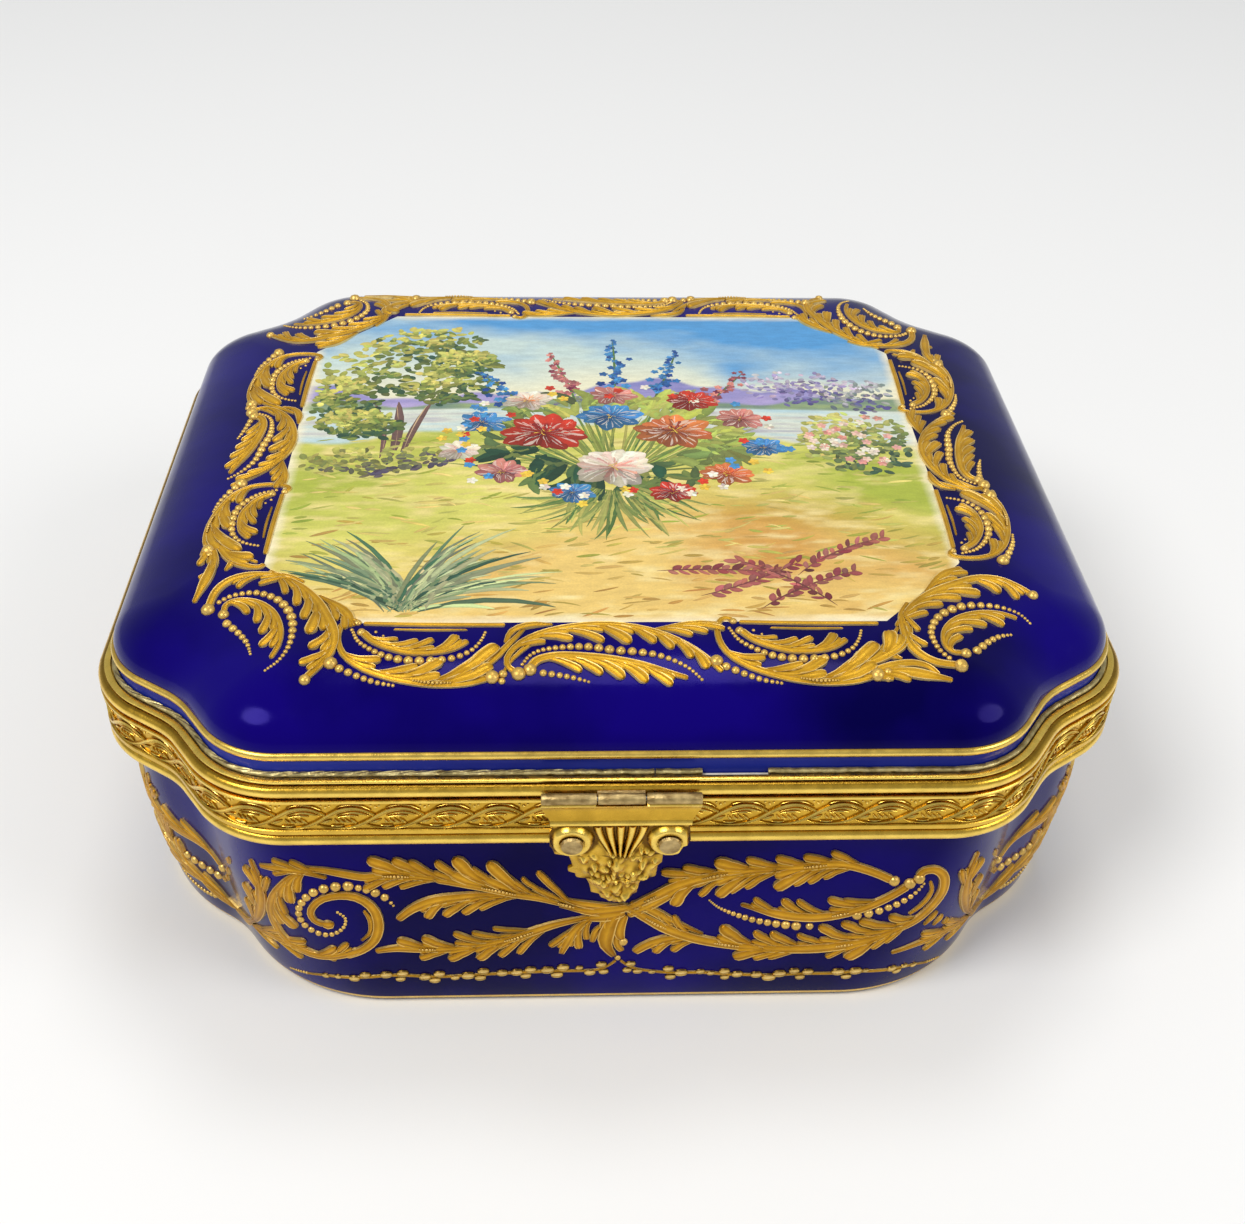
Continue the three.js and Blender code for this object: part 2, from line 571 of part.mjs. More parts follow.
// A leaf with every second knuckle from the first one named, notched clear of the others
function hingeLeaf(z0, z1, firstKnuckle) {
  const plate = block(-leafHalf, leafHalf, leafInside, leafInside + LEAF_THICKNESS, z0, z1);
  const own = [];
  const notches = [];
  for (let i = 0; i < KNUCKLE_COUNT; i++) {
    const [x0, x1] = knuckleSpan(i);
    if (i % 2 === firstKnuckle) {
      own.push(barX(HINGE_RADIUS, x0, x1, hingeY, hingeZ));
    } else {
      notches.push(barX(HINGE_RADIUS + GAP, x0 - GAP, x1 + GAP, hingeY, hingeZ));
    }
  }
  const bore = barX(pinBore, -leafHalf - PAST, leafHalf + PAST, hingeY, hingeZ);
  return cut(join(cut(plate, ...notches), ...own), bore);
}

const rivetX = hingeHalf + LEAF_EAR / 2;
const baseRivetZ = hingeZ - BASE_LEAF_DROP / 2;
const lidRivetZ = lidFootZ + TORUS_RADIUS;
const rivetTip = leafInside - RIVET_GRIP;
const leafFace = leafInside + LEAF_THICKNESS;
const rivetHole = (x, z) => barY(RIVET_SHANK + GAP, rivetTip - GAP, leafFace + PAST, x, z);
const baseHoles = [-rivetX, rivetX].map((x) => rivetHole(x, baseRivetZ));
const lidHoles = [-rivetX, rivetX].map((x) => rivetHole(x, lidRivetZ));
baseMount = cut(baseMount, ...baseHoles);
lidMount = cut(lidMount, ...lidHoles);
addMesh('hinge_leaf_body', cut(hingeLeaf(hingeZ - BASE_LEAF_DROP, hingeZ - GAP, 0), ...baseHoles), GILT);
addMesh('hinge_leaf_lid', cut(hingeLeaf(hingeZ + GAP, hingeZ + LID_LEAF_RISE, 1), ...lidHoles), GILT);
const hingePinHalf = hingeHalf + HINGE_PIN_OVERHANG;
addMesh('hinge_pin', barX(HINGE_PIN_RADIUS, -hingePinHalf, hingePinHalf, hingeY, hingeZ), STEEL);

function hingeRivet(x, z) {
  const shank = barY(RIVET_SHANK, rivetTip, leafFace + 2 * GAP, x, z);
  const head = barY(RIVET_HEAD, leafFace + GAP, leafFace + GAP + RIVET_HEAD_HEIGHT, x, z,
    ROUND_STEPS, RIVET_HEAD * 0.7);
  return join(shank, head);
}
addMesh('hinge_rivet_body_left', hingeRivet(-rivetX, baseRivetZ), GILT);
addMesh('hinge_rivet_body_right', hingeRivet(rivetX, baseRivetZ), GILT);
addMesh('hinge_rivet_lid_left', hingeRivet(-rivetX, lidRivetZ), GILT);
addMesh('hinge_rivet_lid_right', hingeRivet(rivetX, lidRivetZ), GILT);

// Drop clasp: it hangs from the lid on a pin through three knuckles
const claspY = -(HALF_DEPTH + MOUNT_OUT + CLASP_STANDOFF + CLASP_KNUCKLE);
const claspZ = PARTING_Z + CLASP_AXIS_ABOVE_PARTING;
const claspHalf = CLASP_WIDTH / 2;
const lugHalf = LUG_WIDTH / 2;
const claspBore = barX(CLASP_PIN_RADIUS + GAP, -claspHalf - PAST, claspHalf + PAST, claspY, claspZ);
const mountFront = -(HALF_DEPTH + MOUNT_OUT);
const plateBack = claspY + PLATE_THICKNESS / 2;
const claspLug = cut(join(
  barX(CLASP_KNUCKLE, -lugHalf, lugHalf, claspY, claspZ),
  block(-lugHalf, lugHalf, claspY, mountFront - GAP, claspZ - CLASP_KNUCKLE / 2, claspZ + CLASP_KNUCKLE),
  block(-lugHalf, lugHalf, plateBack + GAP, mountFront - GAP, lidFootZ + TORUS_RADIUS / 2, claspZ),
), claspBore);
addMesh('clasp_lug', claspLug, GILT);
addMesh('clasp_pin', barX(CLASP_PIN_RADIUS, -claspHalf, claspHalf, claspY, claspZ), STEEL);

// Plate with two knuckles; its ends sweep in below the knuckles in a hollow curve
const plateFootZ = claspZ - PLATE_DROP;
const plateFootHalf = PLATE_FOOT_WIDTH / 2;
const plateShape = new THREE.Shape();
plateShape.moveTo(-claspHalf, claspZ);
plateShape.lineTo(-claspHalf, claspZ - PLATE_DROP / 3);
plateShape.quadraticCurveTo(-plateFootHalf, claspZ - PLATE_DROP / 2, -plateFootHalf, plateFootZ);
plateShape.lineTo(plateFootHalf, plateFootZ);
plateShape.quadraticCurveTo(plateFootHalf, claspZ - PLATE_DROP / 2, claspHalf, claspZ - PLATE_DROP / 3);
plateShape.lineTo(claspHalf, claspZ);
plateShape.closePath();

// A flat shape drawn in X and Z, thick from yBack towards the front
function slab(shape, thickness, yBack, curveSteps = 5) {
  const options = { depth: thickness, bevelEnabled: false, curveSegments: curveSteps };
  const geometry = new THREE.ExtrudeGeometry(shape, options);
  return geometry.rotateX(Math.PI / 2).translate(0, yBack, 0);
}
const lugNotch = block(-lugHalf - GAP, lugHalf + GAP, claspY - FAR_PAST, claspY + FAR_PAST,
  claspZ - CLASP_KNUCKLE - GAP, claspZ + FAR_PAST);
const claspPlate = cut(join(
  slab(plateShape, PLATE_THICKNESS, plateBack),
  barX(CLASP_KNUCKLE, -claspHalf, -lugHalf - GAP, claspY, claspZ),
  barX(CLASP_KNUCKLE, lugHalf + GAP, claspHalf, claspY, claspZ),
), claspBore, lugNotch);
addMesh('clasp_plate', claspPlate, GILT);

// Acanthus leaf under the plate, in a group of its own that leans in towards the body.
// Its own frame: x across, z down from the plate's foot, y = 0 at the back of the leaf.
const leafGroup = new THREE.Group();
leafGroup.position.set(0, plateBack, plateFootZ - GAP);
leafGroup.rotation.x = LEAF_LEAN;
box.add(leafGroup);
const voluteZ = -VOLUTE_DROP;
const bladeShape = new THREE.Shape();
bladeShape.moveTo(-VOLUTE_SPREAD, 0);
bladeShape.lineTo(-VOLUTE_SPREAD, voluteZ - LEAF_SHOULDER);
for (const [x, along] of LEAF_LOBES) bladeShape.lineTo(-x, -LEAF_HEIGHT * along);
bladeShape.lineTo(0, -LEAF_HEIGHT);
for (const [x, along] of [...LEAF_LOBES].reverse()) bladeShape.lineTo(x, -LEAF_HEIGHT * along);
bladeShape.lineTo(VOLUTE_SPREAD, voluteZ - LEAF_SHOULDER);
bladeShape.lineTo(VOLUTE_SPREAD, 0);
bladeShape.closePath();
function swelling(x, z, radiusX, radiusY, radiusZ) {
  const geometry = new THREE.SphereGeometry(1, 10, 6);
  return geometry.scale(radiusX, radiusY, radiusZ).translate(x, -LEAF_DEPTH / 2, z);
}
const leafParts = [slab(bladeShape, LEAF_DEPTH, 0)];
for (const side of [-1, 1]) {
  leafParts.push(barY(VOLUTE_RADIUS, -LEAF_DEPTH - VOLUTE_PROUD, 0, side * VOLUTE_SPREAD, voluteZ));
  for (const [x, along, size] of LEAF_LOBES) {
    leafParts.push(swelling(side * x, -LEAF_HEIGHT * along, size, LEAF_DEPTH * 0.8, size * 1.15));
  }
}
leafParts.push(swelling(0, -LEAF_HEIGHT / 2, LEAF_RIB_RADIUS, LEAF_DEPTH * 1.3, LEAF_HEIGHT * 0.46));
const leafBackTrim = block(-claspHalf, claspHalf, 0, FAR_PAST, -LEAF_HEIGHT - FAR_PAST, PAST);
const leafTopTrim = block(-claspHalf, claspHalf, -LEAF_DEPTH - FAR_PAST, PAST, 0, FAR_PAST);
const springBack = GAP + SPRING_THICKNESS;
const discHole = (side) => barY(CLASP_RIVET_SHANK + GAP, -LEAF_DEPTH - FAR_PAST, springBack + PAST,
  side * VOLUTE_SPREAD, voluteZ);
const claspLeaf = cut(join(...leafParts), leafBackTrim, leafTopTrim, discHole(-1), discHole(1));
addMesh('clasp_leaf', claspLeaf, GILT, leafGroup);

// Spring plate behind the clasp: an upright tongue behind the plate, with a slot for the keeper,
// and a foot that follows the leaf's lean and is held by the two rivets
const keeperZ = PARTING_Z - KEEPER_DROP;
const tongueTop = keeperZ + KEEPER_RADIUS + TONGUE_MARGIN;
const springHalf = SPRING_WIDTH / 2;
const tongue = block(-springHalf, springHalf, plateBack + GAP, plateBack + springBack,
  plateFootZ - GAP - SPRING_THICKNESS, tongueTop);
const earTop = voluteZ + SPRING_EAR / 2;
const footStem = block(-springHalf, springHalf, GAP, springBack, earTop - SPRING_EAR, 0);
const footEars = block(-VOLUTE_SPREAD - SPRING_EAR / 2, VOLUTE_SPREAD + SPRING_EAR / 2, GAP, springBack,
  earTop - SPRING_EAR, earTop);
leafGroup.updateMatrix();
const springFoot = cut(join(footStem, footEars), discHole(-1), discHole(1)).applyMatrix4(leafGroup.matrix);
const keeperSlotRadius = KEEPER_RADIUS + KEEPER_CLEARANCE;
const keeperSlot = barY(keeperSlotRadius, plateBack - PAST, plateBack + springBack + PAST, 0, keeperZ);
addMesh('catch_spring', cut(join(tongue, springFoot), keeperSlot), STEEL);

const leafFaceY = -LEAF_DEPTH - VOLUTE_PROUD - GAP;
function claspRivet(side) {
  const x = side * VOLUTE_SPREAD;
  return join(
    barY(CLASP_RIVET_SHANK, leafFaceY - GAP, springBack + GAP + CLASP_RIVET_TAIL_HEIGHT / 2, x, voluteZ),
    barY(DISC_RADIUS * 0.9, leafFaceY - DISC_HEIGHT, leafFaceY, x, voluteZ, ROUND_STEPS, DISC_RADIUS),
    barY(CLASP_RIVET_TAIL, springBack + GAP, springBack + GAP + CLASP_RIVET_TAIL_HEIGHT, x, voluteZ),
  );
}
addMesh('clasp_rivet_left', claspRivet(-1), WORN_BRASS, leafGroup);
addMesh('clasp_rivet_right', claspRivet(1), WORN_BRASS, leafGroup);

// Keeper stud set into the front of the base mount, behind the spring's slot
const keeperFoot = -(HALF_DEPTH + friezeOut) + KEEPER_SET_IN;
const keeperTip = plateBack + springBack + KEEPER_SHORTFALL;
addMesh('catch_keeper', barY(KEEPER_RADIUS * 0.8, keeperTip, keeperFoot, 0, keeperZ, ROUND_STEPS,
  KEEPER_RADIUS), GILT);
const keeperHole = barY(KEEPER_RADIUS + GAP, keeperFoot - FAR_PAST, keeperFoot + GAP, 0, keeperZ);
addMesh('base_mount', cut(baseMount, keeperHole), GILT);
addMesh('lid_mount', lidMount, GILT);

export default box;
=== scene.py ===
# %% [markdown]
# # A porcelain jewelry box in gilt brass mounts
#
# The box is a deep cobalt body and a domed lid, each bedded in a gilt brass mount. Raised gold
# scrollwork lies on the glaze, and the lid carries a painted panel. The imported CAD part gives
# the sizes and the two joints. This script dresses it: fine porcelain skins, the mounts'
# mouldings, the raised gold, the painting and the finishes.
#
# Lengths are in millimetres here, as on a drawing, and become metres where a mesh is made.

# %% Load the frame
import math

import bpy
import numpy as np
from mathutils import Matrix


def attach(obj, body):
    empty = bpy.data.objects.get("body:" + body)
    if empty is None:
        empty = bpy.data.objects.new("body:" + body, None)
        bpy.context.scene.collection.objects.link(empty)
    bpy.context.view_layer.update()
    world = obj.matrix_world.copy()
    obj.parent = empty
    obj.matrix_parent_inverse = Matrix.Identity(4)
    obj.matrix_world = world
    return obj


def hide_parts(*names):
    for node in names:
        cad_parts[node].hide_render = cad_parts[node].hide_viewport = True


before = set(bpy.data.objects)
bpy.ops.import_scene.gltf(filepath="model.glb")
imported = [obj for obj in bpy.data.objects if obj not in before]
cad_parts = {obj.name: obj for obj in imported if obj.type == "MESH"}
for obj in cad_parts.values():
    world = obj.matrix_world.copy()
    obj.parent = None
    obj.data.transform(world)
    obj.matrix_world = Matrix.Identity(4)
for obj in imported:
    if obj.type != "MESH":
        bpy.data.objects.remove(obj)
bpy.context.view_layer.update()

# %% [markdown]
# ## Camera, floor and light
#
# The photograph looks down on the box from a little left of its middle, close enough for strong
# perspective. The camera repeats that place and angle. The floor is a plain pale disc, large
# enough to fill the view from every side, and the light is a bright sky with three soft lamps.

# %% Camera
PHOTO_WIDTH = 1245
FOCAL_PIXELS = 1607.6
CAMERA_PLACE = (-0.01396, -0.37419, 0.32039)
CAMERA_TURN, CAMERA_PITCH, CAMERA_ROLL = (math.radians(a) for a in (-2.896, 36.99, 1.49))
MIDDLE_SHIFT = 0.0059

camera = bpy.data.objects.new("camera", bpy.data.cameras.new("camera"))
bpy.context.scene.collection.objects.link(camera)
bpy.context.scene.camera = camera
camera.data.sensor_width = 36
camera.data.lens = 36 * FOCAL_PIXELS / PHOTO_WIDTH
camera.data.shift_y = MIDDLE_SHIFT
camera.data.clip_start, camera.data.clip_end = 0.01, 20
camera.matrix_world = (
    Matrix.Translation(CAMERA_PLACE)
    @ Matrix.Rotation(CAMERA_TURN, 4, "Z")
    @ Matrix.Rotation(math.pi / 2 - CAMERA_PITCH, 4, "X")
    @ Matrix.Rotation(CAMERA_ROLL, 4, "Z")
)
print("lens", round(camera.data.lens, 2), "mm")


# %% Node helper
def add_node(tree, kind, sockets=None, **settings):
    """Adds one shader node. sockets maps an input's name or number to a value or to another
    node's output, settings are the node's own properties."""
    node = tree.nodes.new(kind)
    for name, value in settings.items():
        setattr(node, name, value)
    for name, value in (sockets or {}).items():
        if isinstance(value, bpy.types.NodeSocket):
            tree.links.new(value, node.inputs[name])
        else:
            node.inputs[name].default_value = value
    return node


# %% Sky, lamps and floor
SKY_COLOUR = (0.93, 0.96, 1.0, 1)
SKY_STRENGTH = 0.5
LAMPS = {  # place, size in metres, power in watts
    "lamp_key": ((-0.9, -0.7, 1.5), 0.8, 19),
    "lamp_fill": ((1.2, -0.6, 1.1), 0.8, 8),
    "lamp_back": ((0.1, 0.7, 2.1), 0.8, 10),
}

world = bpy.data.worlds.new("studio_sky")
bpy.context.scene.world = world
world.use_nodes = True
sky = world.node_tree.nodes["Background"]
sky.inputs["Color"].default_value = SKY_COLOUR
sky.inputs["Strength"].default_value = SKY_STRENGTH
for name, (place, size, power) in LAMPS.items():
    light = bpy.data.lights.new(name, "AREA")
    light.shape, light.size, light.energy = "DISK", size, power
    lamp = bpy.data.objects.new(name, light)
    bpy.context.scene.collection.objects.link(lamp)
    aim = Matrix.Translation(place).to_translation()
    lamp.matrix_world = Matrix.Translation(place) @ aim.to_track_quat("Z", "Y").to_matrix().to_4x4()
bpy.context.scene.view_settings.view_transform = "Standard"

FLOOR_RADIUS = 6.0
FLOOR_COLOUR = (0.80, 0.79, 0.77, 1)
turns = np.linspace(0, 2 * math.pi, 96, endpoint=False)
floor_mesh = bpy.data.meshes.new("floor")
floor_mesh.from_pydata(
    np.column_stack([FLOOR_RADIUS * np.cos(turns), FLOOR_RADIUS * np.sin(turns), turns * 0]).tolist(),
    [], [list(range(len(turns)))])
floor = bpy.data.objects.new("floor", floor_mesh)
bpy.context.scene.collection.objects.link(floor)
floor_paint = bpy.data.materials.new("floor_paint")
floor_paint.use_nodes = True
floor_shader = floor_paint.node_tree.nodes["Principled BSDF"]
floor_shader.inputs["Base Color"].default_value = FLOOR_COLOUR
floor_shader.inputs["Roughness"].default_value = 0.9
floor_mesh.materials.append(floor_paint)

# %% [markdown]
# ## Finishes
#
# Cobalt glaze is nearly black where it turns away and deep violet blue where light enters it,
# under a hard clear gloss that is never quite flat. The raised gold is fired on matte, the wall's
# a little glossier than the lid's, and is painted darker in its hollows and creases as painted
# shade and lighter on its ridges and rims as a painted highlight. The mounts are fire-gilt brass,
# bright with a painted highlight on the high parts and brown with painted shade in the hollows.
# Each finish is a recipe of shader nodes on object coordinates, or on the piece's own attribute
# where it follows the relief.

# %% Finish recipes
def new_finish(name, **constants):
    """A material with one Principled shader whose unchanging values are set on its sockets."""
    material = bpy.data.materials.new(name)
    material.use_nodes = True
    shader = material.node_tree.nodes["Principled BSDF"]
    for socket, value in constants.items():
        shader.inputs[socket.replace("_", " ")].default_value = value
    return material, material.node_tree, shader


def object_noise(tree, scale, detail=3.0, stretch=(1, 1, 1)):
    """Fractal noise over the piece's own coordinates, finer with scale, drawn out by stretch."""
    coordinates = add_node(tree, "ShaderNodeTexCoord").outputs["Object"]
    placed = add_node(tree, "ShaderNodeMapping", {"Vector": coordinates, "Scale": stretch})
    return add_node(tree, "ShaderNodeTexNoise", {
        "Vector": placed.outputs["Vector"], "Scale": scale, "Detail": detail}).outputs["Fac"]


def ramp(tree, value, stops):
    """A colour for each value: stops maps positions to colours, blended between them."""
    node = add_node(tree, "ShaderNodeValToRGB", {"Fac": value})
    elements = node.color_ramp.elements
    for k, (position, colour) in enumerate(sorted(stops.items())):
        element = elements[k] if k < 2 else elements.new(position)
        element.position, element.color = position, (*colour, 1)
    return node.outputs["Color"]


def mixed(tree, factor, a, b, blend="MIX"):
    """Colour a turned into colour b by factor, in the way that blend names."""
    node = add_node(tree, "ShaderNodeMix", data_type="RGBA", blend_type=blend)
    for slot, value in ((0, factor), (6, a), (7, b)):
        if isinstance(value, bpy.types.NodeSocket):
            tree.links.new(value, node.inputs[slot])
        else:
            node.inputs[slot].default_value = (*value, 1) if slot else value
    return node.outputs[2]


def spread(tree, value, low, high, new_low, new_high):
    """value carried from low..high to new_low..new_high, and held at the ends."""
    return add_node(tree, "ShaderNodeMapRange", {
        "Value": value, "From Min": low, "From Max": high,
        "To Min": new_low, "To Max": new_high}).outputs["Result"]


def bump(tree, height, strength, distance, under=None):
    """Small relief from a height, strength from 0 to 1, distance in metres."""
    sockets = {"Height": height, "Strength": strength, "Distance": distance}
    if under is not None:
        sockets["Normal"] = under
    return add_node(tree, "ShaderNodeBump", sockets).outputs["Normal"]


# %% Glazes
def glaze_finish(name, deep, bright, specular=0.5, tint=(1, 1, 1)):
    """A coloured glaze: clouds of two shades under a gloss that waves very slightly. The gloss
    of a deep glaze takes its tint."""
    material, tree, shader = new_finish(
        name, Specular_IOR_Level=specular, IOR=1.5, Specular_Tint=(*tint, 1))
    tree.links.new(ramp(tree, object_noise(tree, 16, 4), {0.38: deep, 0.64: bright}),
                   shader.inputs["Base Color"])
    tree.links.new(spread(tree, object_noise(tree, 180, 5), 0.4, 0.75, 0.10, 0.2),
                   shader.inputs["Roughness"])
    waves = bump(tree, object_noise(tree, 45, 2), 0.25, 0.0006)
    tree.links.new(bump(tree, object_noise(tree, 900, 2), 0.05, 0.0001, waves), shader.inputs["Normal"])
    return material


COBALT = glaze_finish("cobalt_glaze", (0.0008, 0.0002, 0.04), (0.0045, 0.0008, 0.13), 0.2, (0.18, 0.13, 0.8))
BAND_BLUE = glaze_finish("band_blue_glaze", (0.008, 0.014, 0.18), (0.02, 0.034, 0.30), 0.3, (0.3, 0.3, 1.0))
WHITE_GLAZE = glaze_finish("white_glaze", (0.78, 0.78, 0.74), (0.84, 0.84, 0.81), 0.5)


# %% Golds and metals
FACE_LEVEL = 0.35
# RIM_START and RIM_FULL place the painted rim highlight across a stroke, RIM_STRENGTH sets its strength
RIM_START, RIM_FULL, RIM_STRENGTH = 0.7, 0.86, 0.85


def gold_finish(name, hollow, face, ridge, roughness, grain, metallic=1.0, rim=None,
                crease_width=0.0006):
    """Gilding that reads the piece's relief attribute: x is the place across a stroke, from -1
    to 1, y the length along it and z the height from hollow (0) to ridge (1). The hollow colour is
    painted shade, the face colour is the gilding's own and the ridge colour is a painted highlight.
    A rim colour, where given, is a painted highlight along both edges of a stroke. The hollow colour
    is also painted shade in every crease that is narrower than crease_width, in metres."""
    material, tree, shader = new_finish(name, Metallic=metallic, Specular_IOR_Level=0.2)
    relief = add_node(tree, "ShaderNodeAttribute", attribute_name="relief")
    relief = add_node(tree, "ShaderNodeSeparateXYZ", {"Vector": relief.outputs["Vector"]})
    # painted light: the relief height runs from painted shade in the hollows to a painted highlight on the
    # ridges
    shade_and_highlight = ramp(tree, relief.outputs["Z"], {0.0: hollow, FACE_LEVEL: face, 1.0: ridge})
    if rim:
        # painted highlight along both edges of a stroke
        across = add_node(tree, "ShaderNodeMath", {0: relief.outputs["X"]}, operation="ABSOLUTE")
        edge = spread(tree, across.outputs[0], RIM_START, RIM_FULL, 0, RIM_STRENGTH)
        shade_and_highlight = mixed(tree, edge, shade_and_highlight, rim)
    # painted shade: ambient occlusion darkens every narrow crease to the hollow colour
    crease = add_node(tree, "ShaderNodeAmbientOcclusion", {"Distance": crease_width},
                      samples=6, only_local=True)
    shade_and_highlight = mixed(tree, spread(tree, crease.outputs["AO"], 0.4, 0.88, 0.92, 0), shade_and_highlight, hollow)
    clouds = ramp(tree, object_noise(tree, 220, 5), {0.3: (0.72, 0.70, 0.66), 0.65: (1, 1, 1)})
    tree.links.new(mixed(tree, 0.8, shade_and_highlight, clouds, "MULTIPLY"), shader.inputs["Base Color"])
    tree.links.new(spread(tree, object_noise(tree, 500, 4), 0.3, 0.7, roughness - 0.08, roughness + 0.1),
                   shader.inputs["Roughness"])
    tree.links.new(bump(tree, object_noise(tree, 2500, 3), grain, 0.00012), shader.inputs["Normal"])
    return material


# In each gold the hollow colour is painted shade, the face colour the gilding's own, and the ridge and rim
# colours are painted highlight.
PASTE_GOLD = gold_finish("raised_gold", (0.10, 0.04, 0.003), (0.50, 0.245, 0.009), (0.76, 0.43, 0.03),
                         0.42, 0.6, metallic=0.62, rim=(0.97, 0.74, 0.30))
WALL_GOLD = gold_finish("raised_gold_of_the_wall", (0.07, 0.025, 0.002), (0.37, 0.155, 0.006),
                        (0.76, 0.40, 0.026), 0.38, 0.6, metallic=0.8, rim=(0.94, 0.65, 0.20))
PEARL_GOLD = gold_finish("pearl_gold", (0.42, 0.23, 0.03), (0.82, 0.55, 0.17), (0.70, 0.44, 0.09),
                         0.36, 0.4, metallic=0.65)
ORMOLU = gold_finish("fire_gilt_brass", (0.15, 0.07, 0.006), (0.68, 0.41, 0.045), (1.0, 0.71, 0.15),
                     0.26, 0.25, crease_width=0.0003)
CHASED_GOLD = gold_finish("chased_gilding", (0.12, 0.055, 0.004), (0.76, 0.46, 0.05), (1.0, 0.77, 0.20),
                          0.24, 0.2, crease_width=0.00022)
LINE_GOLD = gold_finish("burnished_line", (0.45, 0.25, 0.03), (0.75, 0.46, 0.07), (0.92, 0.65, 0.15),
                        0.28, 0.2)
BERRY_GOLD = gold_finish("berry_gold", (0.22, 0.11, 0.01), (0.62, 0.36, 0.05), (0.98, 0.74, 0.30),
                         0.3, 0.4, metallic=0.95)


def metal_finish(name, dark, light, roughness, grain):
    """Bare worked metal: two shades in fine clouds, with a fine grain."""
    material, tree, shader = new_finish(name, Metallic=1.0)
    tree.links.new(ramp(tree, object_noise(tree, 400, 6), {0.35: dark, 0.68: light}),
                   shader.inputs["Base Color"])
    tree.links.new(spread(tree, object_noise(tree, 700, 4), 0.3, 0.7, roughness - 0.08, roughness + 0.12),
                   shader.inputs["Roughness"])
    tree.links.new(bump(tree, object_noise(tree, 1800, 4), grain, 0.0002), shader.inputs["Normal"])
    return material


GILT = metal_finish("plain_gilding", (0.50, 0.30, 0.04), (0.86, 0.58, 0.12), 0.3, 0.3)
WORN_BRASS = metal_finish("worn_brass", (0.27, 0.18, 0.07), (0.62, 0.46, 0.20), 0.45, 0.6)
STRIP_BRASS = metal_finish("old_strip_brass", (0.28, 0.22, 0.09), (0.62, 0.52, 0.25), 0.42, 0.5)
STEEL = metal_finish("pin_steel", (0.30, 0.30, 0.29), (0.55, 0.55, 0.53), 0.35, 0.3)


def plaster_finish():
    """Dry bedding plaster, chalky and slightly stained."""
    material, tree, shader = new_finish("bedding_plaster", Roughness=0.9)
    stains = ramp(tree, object_noise(tree, 300, 5), {0.3: (0.5, 0.45, 0.36), 0.7: (0.74, 0.69, 0.58)})
    tree.links.new(stains, shader.inputs["Base Color"])
    tree.links.new(bump(tree, object_noise(tree, 1500, 4), 0.5, 0.0003), shader.inputs["Normal"])
    return material


PLASTER = plaster_finish()
print("finishes", len(bpy.data.materials))

# %% [markdown]
# ## Making a mesh from arrays
#
# Every new piece is worked out with numpy as arrays of points and faces. One helper turns them
# into a mesh, sets its materials and its relief attribute, and lets it ride on a body of the
# frame, so that each later cell only has to describe a shape.

# %% Piece builder
METRES = 0.001
CRISP_BEND = math.radians(40)


def make_piece(name, parts, body, replaces=()):
    """Joins parts into one named piece. A part is (points in mm, list of face arrays, material,
    relief values per point or None). Edges bent by more than CRISP_BEND stay crisp."""
    points, loops, totals, materials, slots, reliefs = [], [], [], [], [], []
    start = 0
    for part_points, part_faces, material, relief in parts:
        part_points = np.asarray(part_points, float).reshape(-1, 3)
        if material not in materials:
            materials.append(material)
        for faces in part_faces:
            faces = np.atleast_2d(faces)
            loops.append((faces + start).ravel())
            totals.append(np.full(len(faces), faces.shape[1]))
            slots.append(np.full(len(faces), materials.index(material)))
        reliefs.append(np.ones((len(part_points), 3)) if relief is None else relief.reshape(-1, 3))
        points.append(part_points)
        start += len(part_points)
    points, loops, totals = np.concatenate(points), np.concatenate(loops), np.concatenate(totals)
    mesh = bpy.data.meshes.new(name)
    mesh.vertices.add(len(points))
    mesh.vertices.foreach_set("co", (points * METRES).astype(np.float32).ravel())
    mesh.loops.add(len(loops))
    mesh.loops.foreach_set("vertex_index", loops.astype(np.int32))
    mesh.polygons.add(len(totals))
    mesh.polygons.foreach_set("loop_start", (np.cumsum(totals) - totals).astype(np.int32))
    mesh.polygons.foreach_set("material_index", np.concatenate(slots).astype(np.int32))
    for material in materials:
        mesh.materials.append(material)
    mesh.attributes.new("relief", "FLOAT_VECTOR", "POINT").data.foreach_set(
        "vector", np.concatenate(reliefs).astype(np.float32).ravel())
    mesh.update(calc_edges=True)
    mesh.validate()
    mesh.shade_smooth()
    mesh.set_sharp_from_angle(angle=CRISP_BEND)
    piece = bpy.data.objects.new(name, mesh)
    bpy.context.scene.collection.objects.link(piece)
    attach(piece, body)
    if replaces:
        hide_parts(*replaces)
    print(name, int((totals - 2).sum()), "triangles")
    return piece


def grid_faces(rows, columns, wrap_rows=False, wrap_columns=False, first=0):
    """The four-sided faces of a grid of points stored row by row, wound so that they point
    outwards when rows go up and columns go counter-clockwise seen from above."""
    r = np.arange(rows if wrap_rows else rows - 1)
    c = np.arange(columns if wrap_columns else columns - 1)
    r, c = np.meshgrid(r, c, indexing="ij")
    r2, c2 = (r + 1) % rows, (c + 1) % columns
    quads = np.stack([r * columns + c, r * columns + c2, r2 * columns + c2, r2 * columns + c], -1)
    return quads.reshape(-1, 4) + first


def tube_faces(rows, columns):
    """The faces of a closed tube: its wall, and a cap on its first and on its last ring."""
    ring = np.arange(columns)
    caps = np.array([ring, (rows - 1) * columns + ring[::-1]])
    return [grid_faces(rows, columns, wrap_columns=True)[:, ::-1], caps]


